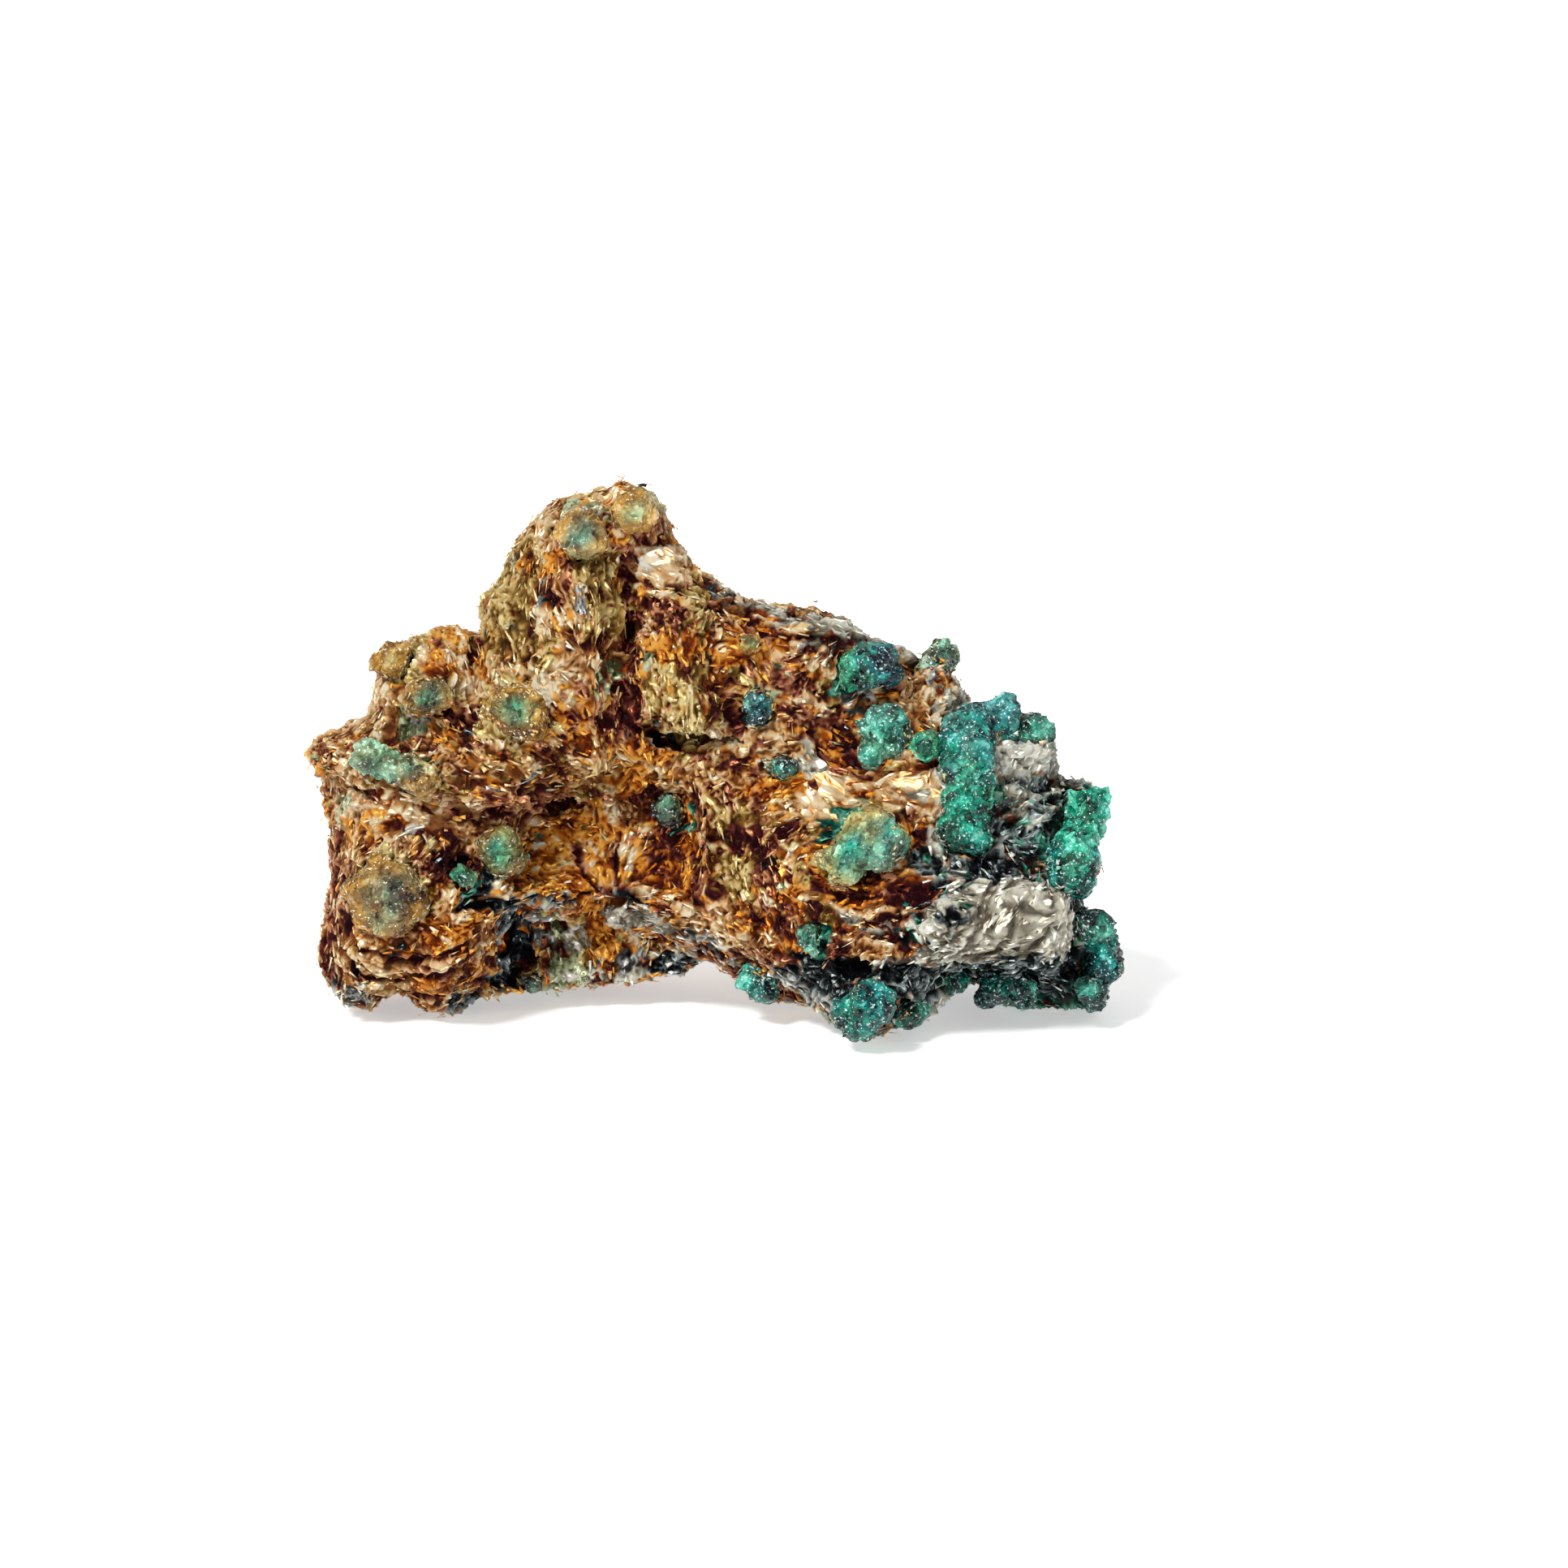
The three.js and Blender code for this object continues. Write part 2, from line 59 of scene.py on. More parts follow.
# --------------------------------------------------------------------------------------------
# The schist body. One lump of mica schist, grown together from patches of mica whose fibres
# each run their own way. It is broken, not cut: every patch ends in a small ragged step.
# --------------------------------------------------------------------------------------------
MM = 0.001
SHOW_TILT = math.radians(12)  # the show face is seen from 12 degrees above level
SHOW_SHIFT = (-0.097, 1.239)  # the origin is the middle of the ground, not of the outline
SHOW_EDGE = (-0.55, 0.1)  # how far a surface faces forwards where the show face starts and is whole
BODY_GRAIN = 0.3  # edge of the body's fine mesh
BODY_FACES = 198000  # what the fine mesh is thinned to, where it is flat
BLADES = 26000  # blades of mica that the surface is made of, fewer where it lies in slabs
BLADE_STRETCH = (1.5, 5.5)  # how many times longer than wide a blade is, from grains to fibres
BLADE_TILT = (0.11, 0.16)  # how far blades slope, along and across, as a rise in a run of 1
BLADE_STRAY = 0.13  # how far a blade strays from the run of the fibres
BLADE_WAVER, BLADE_FINE_WAVER = 0.45, 0.18  # how ragged the border of a blade is
BLADES_NEAR = 9  # how many blades are tried for the one that a corner lies in
BLADES_APART = 7.3  # how far one blade's grain lies from the next one's, so that no two match
SLAB_BARE = 0.88  # share of the blades that a slab does without
BACK_RUN = (0.9, 0.2, -0.3)  # the way the mica lies on the back
WIDE_PITS, SMALL_PITS = 3.2, 1.4  # the two sizes of pits and of lumps between them
BORDER_CRACK = (0.02, 0.2)  # from where to where inside a blade's border its crack closes
# How far each thing lifts or sinks the surface.
LEDGE = 0.16  # from one blade to the next
LEDGE_LIMIT = 0.5
FIBRE_RIDGE = 0.12
LUMP = 0.5
BACK_STEP = 1.5
PIT = 0.7
CRACK = 0.3
GROOVE = 0.36
SETBACK = 0.2  # leaves room for the ledges on the model's surface
# How light the mica is, from 0 in the darkest crack to 1 on the brightest edge.
PLAIN_LIGHT = 0.69
BLADE_LIGHT = 0.16  # how much one blade differs from the next, in tone and in painted sheen
FIBRE_LIGHT, MOTTLE_LIGHT = 0.1, 0.14
# Painted light and shade: lumps are painted lighter, and pits, hollows and blade cracks darker.
LUMP_PAINTED_LIGHT, PIT_PAINTED_SHADE, HOLLOW_PAINTED_SHADE, CRACK_PAINTED_SHADE, HAIRLINE_DARK = 0.36, 0.5, 0.42, 0.5, 0.6
PAINTED_EDGE_SHEEN, DARK_CRACKS = 0.5, 0.65  # fine edges painted bright as sheen, and the material's fine cracks
HOLLOW_ROUNDS, HOLLOW_DEPTH = 14, 0.3  # how wide a hollow is looked for, and how deep gets the darkest painted shade

# Each tone of the rock, from its dark cracks to its bright edges.
TONES = {
    "warm": [(0.03, 0.002, 0.003), (0.37, 0.085, 0.008), (0.86, 0.39, 0.07), (1, 0.83, 0.48)],
    "cream": [(0.16, 0.025, 0.006), (0.8, 0.35, 0.08), (1, 0.73, 0.34), (1, 0.95, 0.76)],
    "rust": [(0.03, 0.001, 0.004), (0.4, 0.045, 0.001), (1, 0.31, 0.01), (1, 0.6, 0.13)],
    "olive": [(0.03, 0.008, 0.003), (0.3, 0.13, 0.014), (0.7, 0.42, 0.08), (1, 0.86, 0.44)],
    "sage": [(0.04, 0.035, 0.012), (0.2, 0.23, 0.09), (0.44, 0.5, 0.24), (0.85, 0.88, 0.62)],
    "pale": [(0.08, 0.06, 0.045), (0.4, 0.36, 0.26), (0.8, 0.75, 0.58), (1, 1, 0.9)],
    "grey": [(0.01, 0.008, 0.01), (0.12, 0.125, 0.11), (0.42, 0.43, 0.38), (0.95, 0.95, 0.9)],
    "maroon": [(0.008, 0.001, 0.003), (0.08, 0.004, 0.009), (0.32, 0.045, 0.015), (0.95, 0.5, 0.24)],
    "dark": [
        (0, 0, 0.001), (0.001, 0.001, 0.002), (0.002, 0.003, 0.005), (0.006, 0.014, 0.018),
        (0.07, 0.12, 0.12), (0.85, 0.96, 0.93),
    ],
    "green": [(0, 0.014, 0.01), (0.001, 0.09, 0.06), (0.006, 0.3, 0.19), (0.4, 0.78, 0.58)],
}
# Where each tone gathers on the show face: (across, up, half across, half up).
ZONES = {
    "cream": [
        (-24.5, 42.5, 2.6, 2.4), (-6.5, 55.6, 3, 1.5), (-6.5, 52, 2.6, 1.8), (-12, 63, 2, 1.2),
        (-20.3, 58, 1.2, 2.2), (-17, 47.5, 1.5, 1.2), (-21.2, 47, 1, 1.4), (-16.5, 52, 1, 1.3),
        (-16.5, 42.2, 2.8, 2.4), (-2.3, 41.7, 1, 1), (-31.5, 43, 3.5, 1.4), (-29, 40, 2, 3),
        (-40, 38, 1.5, 3), (-44, 28, 2.4, 2), (-33.5, 24.8, 6, 1.2), (-42.4, 24.4, 4, 2),
        (-19, 38.5, 3, 2), (-26, 39.5, 2, 1.6), (-39.8, 20.8, 2, 1.3), (-25, 13.8, 2.2, 1.1),
        (-44, 10, 3.4, 5), (-12.5, 25, 1.4, 1), (1.5, 32, 1, 3), (5, 32.5, 3, 1.5),
        (-29.5, 9, 2.6, 1.2), (5, 11, 4, 3.4), (14.3, 42, 1, 1.8), (11, 46, 1.2, 2),
        (29, 38, 3, 3), (15, 27, 4, 3), (24, 27, 4, 2.6), (3, 48.5, 1, 1.5), (11, 37, 3, 1.4),
        (17, 10.6, 2.4, 1), (23, 8, 1.8, 1), (-11, 20, 2, 2), (-24, 62, 1.4, 1.2),
    ],
    "pale": [
        (-7.5, 55.4, 1.4, 0.8), (35.5, 11, 9, 4.6), (-10, 11.5, 2.2, 1.5), (-5.5, 10.4, 2.6, 1.2),
        (-17, 9, 1.8, 1.6), (38, 30.6, 4.4, 3), (17, 45.4, 5, 1.2), (16, 12.3, 1.2, 0.9),
        (-13.5, 3.8, 5.5, 0.7), (-1, 7.5, 3, 1.4), (-35.5, 21.5, 0.9, 1), (29.6, 37.6, 2.8, 2.8),
        (38, 25.4, 4, 2), (24, 27.6, 2.6, 1.4), (11, 31, 1.3, 1.4), (39, 31, 3, 2.4),
    ],
    "grey": [
        (1, 51.5, 2, 1.5), (-15.5, 59.5, 1.6, 1.4), (-15, 50, 1.5, 1.5), (19, 37.5, 2, 1),
        (18, 45, 6, 1.4), (27.5, 41.4, 2, 1.2), (-45, 2, 3, 2.4), (-9, 5.2, 8, 0.9),
        (-36, 35.5, 1.2, 1.6), (8, 4, 4, 1.4), (-20, 10, 2, 3), (46.4, 14, 1.8, 3),
    ],
    "rust": [
        (-14.5, 58.7, 1.2, 1.5), (-19.5, 54.5, 2.8, 1.5), (-4, 44.5, 4, 2.4), (-17, 36, 3, 3.4),
        (-7, 32, 3, 1.4), (-31.5, 45.8, 2.6, 1.5), (-31, 42.5, 4, 1.6), (-41, 22.2, 3, 1.4),
        (-17.5, 18, 4.5, 4), (-10.8, 18, 2.8, 3), (-5, 17.5, 3, 4.4), (-29.5, 9, 2.4, 1.4),
        (2, 43, 2, 2), (25.2, 40.7, 1, 1), (7, 27, 3, 1.8), (1.8, 39.5, 0.7, 1), (14, 20, 2, 1.2),
        (-21, 6, 1.4, 1.4), (24, 21.7, 2, 1.6), (6.5, 46.5, 2.4, 1.4), (20, 15, 6, 1.6),
        (-14, 8.5, 2, 3.4), (-33, 2.6, 3, 1), (-10, 27.5, 2, 2), (-15, 22, 3, 2), (6, 12, 4, 3),
        (-3.4, 22, 2.4, 4),
    ],
    "maroon": [
        (-7.5, 59, 2.2, 2), (-7, 48, 3, 2), (-11.3, 37, 1.6, 2), (-30.5, 36.7, 1.6, 1.8),
        (-24, 25.5, 4, 2.2), (10, 41, 3, 2.4), (6.5, 16, 1.4, 4), (20, 15.6, 5, 1.2),
        (15, 8, 2, 1.6), (21.5, 10, 2, 1.4), (12, 36, 3, 1.6), (-36, 12, 2, 1.4),
        (-17.5, 25.2, 2.4, 0.8), (-1.7, 20, 0.8, 6), (6.5, 46.5, 2.4, 1.4), (-8.5, 26.2, 1, 1),
        (46.2, 15.5, 1.6, 2.4), (-3.5, 47.5, 1.4, 2), (17, 44.6, 6, 0.8), (-31, 17.5, 3.4, 2.4),
        (-6, 20, 2, 3), (-45, 14, 2, 4), (3, 6, 4, 2),
    ],
    "olive": [
        (-23.5, 55, 3.4, 3), (-24.8, 47.8, 2.8, 2.7), (-12.5, 50, 2.6, 4), (-1.5, 48, 1.6, 4),
        (-19.5, 44, 1.8, 2), (-24.3, 36.8, 4, 3.8), (-3.6, 37.3, 5, 3.8), (-38.2, 42.5, 3.2, 2.6),
        (-32.5, 39, 2.4, 2), (-31, 27.5, 2.4, 1.4), (-39, 15, 4.4, 4), (3, 19.5, 2, 4.4),
        (-2, 19, 1, 3), (20.5, 24.5, 1.6, 1.6), (13.7, 17.5, 2.4, 2), (-14, 54, 3, 3),
        (-15.5, 8, 2.4, 3), (14, 12, 2, 1.6),
    ],
    "sage": [
        (-8.3, 61.5, 1.8, 1.6), (-15, 56, 1.2, 1.5), (-24, 54, 1, 1), (-24.5, 47.5, 1.3, 1),
        (-15.5, 60.5, 2.6, 2), (-22.5, 36, 1.4, 1.4), (-38, 30, 4, 1.8), (-44.5, 24.5, 1.6, 1.5),
        (-12.7, 40.5, 1.8, 1.4), (-8.3, 43.3, 0.9, 0.9), (4.5, 45, 1, 1), (-37.5, 16.2, 2.4, 1.3),
        (-36.5, 35.5, 1.6, 2), (27.6, 44, 2.2, 1.8), (18, 24, 3, 1.6), (-20, 3.4, 3.4, 1.6),
        (-18, 7, 2.4, 2.4),
    ],
    # Those low along the foot at the right are partly painted shadow.
    "dark": [
        (-9.7, 55, 0.8, 0.8), (-20, 50, 1, 1), (-5, 33.2, 2, 0.5), (-31, 18.6, 2, 1.2),
        (-27.5, 16, 1, 1.6), (-28, 13, 3, 0.5), (-24, 8, 1.5, 5), (-5.5, 5.2, 2.6, 1.6),
        (-24.5, 3, 2.6, 1), (-30, 0.5, 1.5, 1), (4, 25.5, 0.6, 0.7), (19.5, 41, 1.2, 1.2),
        (33.5, 17.7, 2.6, 1.8), (39.5, 28, 2.8, 1.2), (39, 23.4, 5, 3.4), (29, 11.6, 1.6, 1.2),
        (44.4, 12, 1, 3), (26, 18, 2, 1.2), (11.7, 4.5, 2.4, 1.1), (20, 3.4, 8, 2.6),
        (38.5, 3.6, 8, 2.8), (12, 7, 1.6, 1), (29, 4.8, 4, 1.2), (44.6, 6.6, 1.4, 2.6),
        (-15.5, 60, 0.8, 0.6), (-18, 59.5, 0.7, 0.6), (46, 12, 2, 4),
    ],
    "green": [
        (16.5, 41, 1.6, 2), (20, 41.7, 2.4, 2.2), (6, 36.3, 2, 2.3), (8, 29.5, 2, 1),
        (-4.5, 24, 1.6, 2), (12, 8.3, 1.5, 2.2), (29.6, 3.5, 1.2, 1.2), (5.7, 2.1, 1.8, 1),
        (18.7, 1.5, 1.8, 1.6), (17.5, -1.4, 2.6, 1.4), (24.5, -0.9, 1.6, 1), (41, 1.4, 7, 2),
        (46.8, 2, 1.8, 2.6), (47.7, 8.3, 2.2, 3.6), (17, 22, 3.4, 3), (-25.5, 18.8, 2, 2.6),
        (-29, 15, 1.4, 1.6), (42.4, 19.5, 2, 3), (46.4, 24.6, 2, 3), (38, 24, 5, 4.4),
    ],
}
# The tones that lie everywhere, in the iron-stained half and in the fresh dark half.
STAINED = {
    "warm": 0.9, "cream": 0.38, "rust": 0.45, "olive": 0.26, "sage": 0.02,
    "pale": 0.02, "grey": 0, "maroon": 0.42, "dark": 0.03, "green": 0.0,
}
FRESH = {
    "warm": 0.05, "cream": 0.1, "rust": 0, "olive": 0.06, "sage": 0.04,
    "pale": 0.4, "grey": 0.4, "maroon": 0.06, "dark": 0.6, "green": 0.2,
}
FRESH_FROM = (27, 22)  # a place on the border between the two halves
FRESH_SLANT = 0.45  # how far across the border moves for each millimetre up
RAGGEDNESS = 0.9  # how far borders stray to each side
# How far a tone stands out of the surface, or lies back in it.
SWELLS = {"cream": 0.5, "pale": 0.6, "sage": 0.3, "dark": -0.9, "maroon": -0.5}
# How unevenly a tone lies, and how far each patch of the back keeps to a tone of its own.
TONE_DRIFT, TONE_FINE_DRIFT, BACK_PATCHES = 1.1, 0.5, 4
TONE_FIRMNESS = 1.2  # how firmly the strongest tone holds its place
PIT_MAROON = 0.6  # how much more maroon the pits are
# From where to where a border fades, as a share of the way from the middle to the rim.
ZONE_BORDER, LIGHT_BORDER, SLAB_BORDER, STREAK_BORDER = (0.7, 1.35), (0.5, 1.3), (0.75, 1.25), (0.5, 1.3)
# How strongly a zone and a streak hold their tone against the tones that lie everywhere.
ZONE_PULL = 3.6
ZONE_PULLS = {"dark": 10, "green": 4, "pale": 7}
STREAK_PULL = 6
THIN = 0.5  # streaks of this reach or less are also drawn as fine lines, dark or light
HAIRLINE = 0.34  # below this reach a streak is only such a line
# Streaks that the fibres run along: tone, reach each side, then points (across, up).
STREAKS = [
    ("maroon", 0.8, [(-9.6, 57), (-10.1, 50), (-9.6, 44), (-9.8, 36)]),
    ("maroon", 0.6, [(11.4, 33.6), (15, 31), (19, 28.5)]),
    ("rust", 0.5, [(13, 33.4), (16, 31.2), (19, 29.4)]),
    ("maroon", 0.33, [(17, 27.4), (21, 29), (27.4, 31.6)]),
    ("rust", 0.4, [(19, 27), (23, 28.6), (27.6, 30.2)]),
    ("cream", 1.6, [(-44, 29), (-40, 26.5), (-34, 24), (-27, 22.8)]),
    ("rust", 0.7, [(-36, 12), (-31, 10), (-26, 11.5)]),
    ("rust", 0.7, [(-36, 11), (-31, 7.5), (-27, 4)]),
    ("maroon", 0.7, [(-1.9, 27), (-1.6, 20), (-2.2, 13)]),
    ("maroon", 0.4, [(-13.4, 15), (-17.4, 20)]),
    ("maroon", 0.4, [(-12, 15), (-11.6, 21.4)]),
    ("maroon", 0.4, [(-10.6, 15), (-6, 19)]),
    ("cream", 0.4, [(-13, 15), (-14.8, 21)]),
    ("cream", 0.4, [(-11.4, 15), (-8.8, 20.4)]),
    ("pale", 0.28, [(-0.6, 20), (-0.4, 17), (-1, 12.5)]),
    ("maroon", 0.6, [(-47.6, 22.2), (-43, 22)]),
    ("cream", 1, [(23.4, 36), (25, 39), (27.2, 42.4)]),
    ("maroon", 0.5, [(0, 49.6), (8, 46.4), (16, 45.4), (24, 42.6)]),
    ("pale", 0.7, [(28, 34), (27.7, 27), (27.4, 20)]),
    ("pale", 0.8, [(2, 51), (10, 48), (18, 46.4), (26, 43.4)]),
    ("grey", 0.7, [(-4, 9.4), (2, 6.6), (9, 3.2), (15, 0)]),
    ("cream", 1, [(-3, 11), (4, 7.6), (10, 5)]),
    ("maroon", 0.7, [(-3, 8), (3, 5), (8, 2.4)]),
    ("pale", 1.2, [(25, 6), (30, 8.4), (33, 12.6)]),
    ("pale", 1.4, [(29, 5.4), (34, 8.4), (37.4, 14.4)]),
    ("pale", 1.2, [(34, 5.6), (39.4, 8.6), (44, 14)]),
    ("grey", 0.4, [(31, 5.4), (35.6, 9), (38.4, 15)]),
    ("dark", 0.33, [(28, 6.4), (31.4, 9), (34, 14)]),
    ("grey", 0.4, [(36, 5.8), (41, 9.4), (44.6, 14.6)]),
    ("pale", 0.5, [(35, 20.4), (38.4, 23), (43, 25)]),
    ("pale", 0.5, [(34.4, 22.6), (38, 25.6), (43, 27.2)]),
    ("dark", 0.8, [(35, 21.6), (38.4, 24.4), (43, 26)]),
    ("rust", 0.6, [(-46, 20), (-43, 23.6), (-38, 25.4)]),
    ("rust", 0.7, [(-43, 19.8), (-40, 22), (-36, 22.6)]),
    ("maroon", 0.6, [(-37, 29), (-30, 24.6), (-24, 24.4)]),
    ("cream", 1.2, [(-30.5, 44), (-29.5, 37)]),
    ("cream", 1.2, [(-40, 42), (-40.4, 34)]),
    ("olive", 3, [(-4.6, 41.5), (-3, 33.4)]),
    ("cream", 0.7, [(-5.4, 40), (-4.6, 34.6)]),
    ("cream", 0.6, [(-2.6, 40), (-2, 34.6)]),
    ("rust", 0.5, [(-0.6, 40.4), (-0.2, 35)]),
    ("maroon", 0.25, [(-4, 40), (-3.6, 34.6)]),
    ("maroon", 0.25, [(-7, 39.4), (-6.2, 35.4)]),
    ("dark", 0.33, [(27, 8.6), (30, 9.6), (33, 13), (34.6, 16)]),
    ("dark", 0.33, [(33, 6.4), (36, 9), (37.4, 12.6)]),
    ("dark", 0.33, [(38.6, 6.4), (40.6, 10), (41.6, 14.4)]),
    ("dark", 0.33, [(30, 6.2), (35, 7.4), (40, 7)]),
    ("dark", 0.33, [(35.4, 13), (39, 12), (43, 12.6)]),
    ("maroon", 0.33, [(12, 29), (16, 27.6), (21, 25.6), (27, 25)]),
    ("maroon", 0.33, [(13, 31.6), (17, 29.6), (22, 29.4), (28, 30.4)]),
    ("maroon", 0.33, [(20, 27.6), (24, 26.4), (28, 27)]),
    ("dark", 0.25, [(36, 31.4), (39, 30), (41.6, 31)]),
    ("maroon", 0.25, [(-9.6, 41), (-8.8, 35), (-5, 32.8), (-0.6, 32)]),
    ("olive", 2.4, [(-25, 51), (-24.6, 44.6)]),
    ("maroon", 0.5, [(-9.4, 34.6), (-5, 32.6), (-1, 31.9)]),
    ("cream", 1, [(-10, 54.4), (-6, 52.6), (-3, 52.6)]),
    ("maroon", 0.5, [(-9.6, 53.2), (-6, 51.2), (-3, 51)]),
    ("sage", 1, [(-20, 12), (-18, 4)]),
    ("pale", 0.6, [(-18.4, 12), (-16, 5)]),
    ("rust", 1.4, [(-15, 13), (-13, 4.6)]),
    ("dark", 0.5, [(-29, 12.4), (-22, 13.2), (-14, 14.2), (-8, 13.4)]),
    ("maroon", 0.7, [(13, 15.6), (19, 14.2), (27, 15.4)]),
    ("cream", 0.5, [(12, 13.6), (18, 12), (26, 12.6)]),
    ("pale", 0.4, [(16, 10.4), (21, 11), (25.6, 10.6)]),
    ("cream", 0.4, [(14, 8.6), (19, 9.4), (25, 8)]),
    ("pale", 0.35, [(22, 16.6), (25.4, 17), (27.6, 16.4)]),
    ("rust", 1, [(13, 17), (19, 15.4), (26, 17)]),
    ("olive", 1.4, [(1, 25), (2.4, 19), (5, 13)]),
    ("maroon", 0.8, [(5.4, 22), (6.4, 16), (9, 10)]),
    ("cream", 0.8, [(-10, 15), (-3, 13), (3, 9.4)]),
    ("cream", 1, [(-20, 62), (-20.4, 55)]),
    ("cream", 1, [(11, 30.6), (15, 27), (21, 24)]),
    ("maroon", 0.3, [(11, 28.6), (15, 25.6), (20, 23.6)]),
    ("cream", 1.2, [(20, 28), (25, 27), (28.4, 24.4)]),
    ("cream", 0.8, [(-47, 14), (-45, 8), (-45.6, 3)]),
    ("maroon", 0.4, [(-46, 12), (-42, 7), (-35, 6), (-28, 9)]),
    ("cream", 0.8, [(-46, 10), (-42, 5.6), (-35.6, 4.8), (-29, 7)]),
    ("maroon", 0.4, [(-46.6, 8.6), (-42, 4), (-36, 3.4), (-29, 5.4)]),
    ("cream", 0.7, [(-46.4, 6.6), (-42.6, 2.6), (-39.6, 3)]),
    ("maroon", 0.4, [(-38, 1.4), (-33, 1.8), (-27, 3.4)]),
    ("maroon", 0.8, [(-47.4, 19), (-46.6, 10), (-47.6, 5)]),
    ("dark", 1, [(9, 5), (15, 5.4), (22, 4)]),
    ("pale", 0.4, [(20, 4.4), (25, 1.6), (30, 1)]),
    ("pale", 0.4, [(19, 2.6), (24, 0), (29, -0.6)]),
]
# Places that are lighter or darker than the rest: (across, up, half across, half up, by).
LIGHTER = [
    (-10, 47, 1.3, 10, -0.2), (-11, 18.6, 3.4, 3.6, 0.44), (-17, 19, 5, 4, 0.4),
    (-4, 37.5, 5, 3.6, 0.28), (-21, 37, 8, 5, 0.6), (-13, 60, 7, 4, 0.06), (6, 42, 8, 5, 0.16),
    (-40, 7, 9, 7, -0.3), (13, 9, 9, 5, -0.22), (36, 11, 8, 5, -0.32), (29.6, 37.6, 3, 3, 0.14),
    (-14, 25, 3, 2, 0.12), (-33, 24.6, 6, 1.4, 0.2), (-42, 22, 6, 4, 0.24), (25, 27, 4, 3, -0.04),
    (-19, 8, 6, 5, 0.06), (-33, 42, 7, 6, 0.26), (-31, 17.4, 4, 3, -0.2), (-12, 30, 5, 3, 0.1),
    (20, 14.6, 7, 1.8, -0.12), (40, 2.4, 8, 3, -0.12), (17, 4.6, 6, 2.6, -0.16),
    (-40.5, 23, 6, 3, 0.14), (5, 10.8, 4, 3, -0.22), (-9.6, 11.6, 2.6, 1.4, 0.1),
    (-20, 50, 7, 6, 0.18), (13, 34, 6, 4, 0.16), (38, 23, 5, 5, 0.18), (38.6, 30.4, 4, 3, 0.75),
]
# Places where the mica lies in wide flat slabs: (across, up, half across, half up).
SLABS = [
    (15, 27, 5, 4), (24, 27, 5, 3), (37, 11, 6.6, 4.2),
    (-6.5, 54, 3, 3), (-12, 63, 2, 1),
]
# Fans of fibres: where they spring from, which way they open, half opening, reach.
FANS = [
    (-13.4, 15, 40, 55, 8.5), (8, 38, -20, 40, 7), (-22, 40, 60, 50, 7), (-16, 56, 80, 40, 6),
    (18, 10, 200, 45, 8), (-41, 20, 110, 50, 6), (35, 5, 80, 60, 8), (-2, 26, 100, 35, 6),
    (24, 22, 30, 60, 6), (6, 8, 120, 40, 6),
]


def hashed(cells, seed):
    """A steady random number from 0 to 1 for every whole-number cell."""
    mixed = cells @ np.array([374761393, 668265263, 1440662683]) + seed * 1013904223
    mixed = (mixed ^ (mixed >> 15)) * 2246822519 & 0xFFFFFFFF
    mixed = (mixed ^ (mixed >> 13)) * 3266489917 & 0xFFFFFFFF
    return (mixed ^ (mixed >> 16) & 0xFFFFFFFF) / 0xFFFFFFFF


def clouds(points, size, seed):
    """A smooth random value from -1 to 1 at each point, changing over `size` millimetres."""
    scaled = points / size
    cell = np.floor(scaled).astype(np.int64)
    part = scaled - cell
    part = part * part * (3 - 2 * part)
    total = np.zeros(len(points))
    for corner in range(8):
        step = np.array([corner & 1, corner >> 1 & 1, corner >> 2 & 1])
        share = np.prod(np.where(step, part, 1 - part), axis=1)
        total += share * hashed(cell + step, seed)
    return total * 2 - 1


def clouds_in_space(points, size, seed):
    """Three smooth random values at each point, as a vector."""
    return np.stack([clouds(points, size, seed + k) for k in range(3)], axis=1)


def eased(value, start, end):
    """0 before start, 1 after end, smooth between."""
    part = np.clip((value - start) / (end - start), 0, 1)
    return part * part * (3 - 2 * part)


def unit(vectors):
    """Each vector at length 1."""
    return vectors / np.maximum(np.linalg.norm(vectors, axis=1, keepdims=True), 1e-9)


def along_surface(ways, normals):
    """Each way laid along the surface, at length 1."""
    return unit(ways - normals * np.sum(ways * normals, axis=1, keepdims=True))


def tree_of(points):
    """A search tree that finds the nearest of these points."""
    tree = kdtree.KDTree(len(points))
    for i, spot in enumerate(points):
        tree.insert(spot, i)
    tree.balance()
    return tree


def placed(name, data):
    """A new object in the scene, made from a mesh, a lamp or a camera."""
    thing = bpy.data.objects.new(name, data)
    bpy.context.scene.collection.objects.link(thing)
    return thing


def remeshed(node, grain):
    """A copy of a CAD node's mesh made of even quads, as a new object."""
    piece = placed("grown_" + node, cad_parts[node].data.copy())
    modifier = piece.modifiers.new("grain", "REMESH")
    modifier.mode = "VOXEL"
    modifier.voxel_size = grain * MM
    seen = piece.evaluated_get(bpy.context.evaluated_depsgraph_get())
    even = bpy.data.meshes.new_from_object(seen)
    piece.modifiers.clear()
    piece.data = even
    even.materials.clear()
    return piece


def thinned(piece, faces):
    """Join corners where the mesh is nearly flat, until it has this many triangles."""
    piece.modifiers.new("corners", "TRIANGULATE")
    modifier = piece.modifiers.new("thin", "DECIMATE")
    modifier.ratio = faces / (2 * len(piece.data.polygons))
    seen = piece.evaluated_get(bpy.context.evaluated_depsgraph_get())
    thin = bpy.data.meshes.new_from_object(seen)
    piece.modifiers.clear()
    piece.data = thin


def places_of(piece):
    """The corners of a piece, in millimetres."""
    places = np.empty(len(piece.data.vertices) * 3)
    piece.data.vertices.foreach_get("co", places)
    return places.reshape(-1, 3) / MM


def normals_of(piece):
    """The way the surface faces at each corner of a piece."""
    normals = np.empty(len(piece.data.vertices) * 3)
    piece.data.vertices.foreach_get("normal", normals)
    return normals.reshape(-1, 3)


def move_to(piece, places):
    """Put the corners of a piece at these places, none of them under the ground."""
    places[:, 2] = np.maximum(places[:, 2], 0)
    piece.data.vertices.foreach_set("co", (places * MM).ravel())
    piece.data.update()


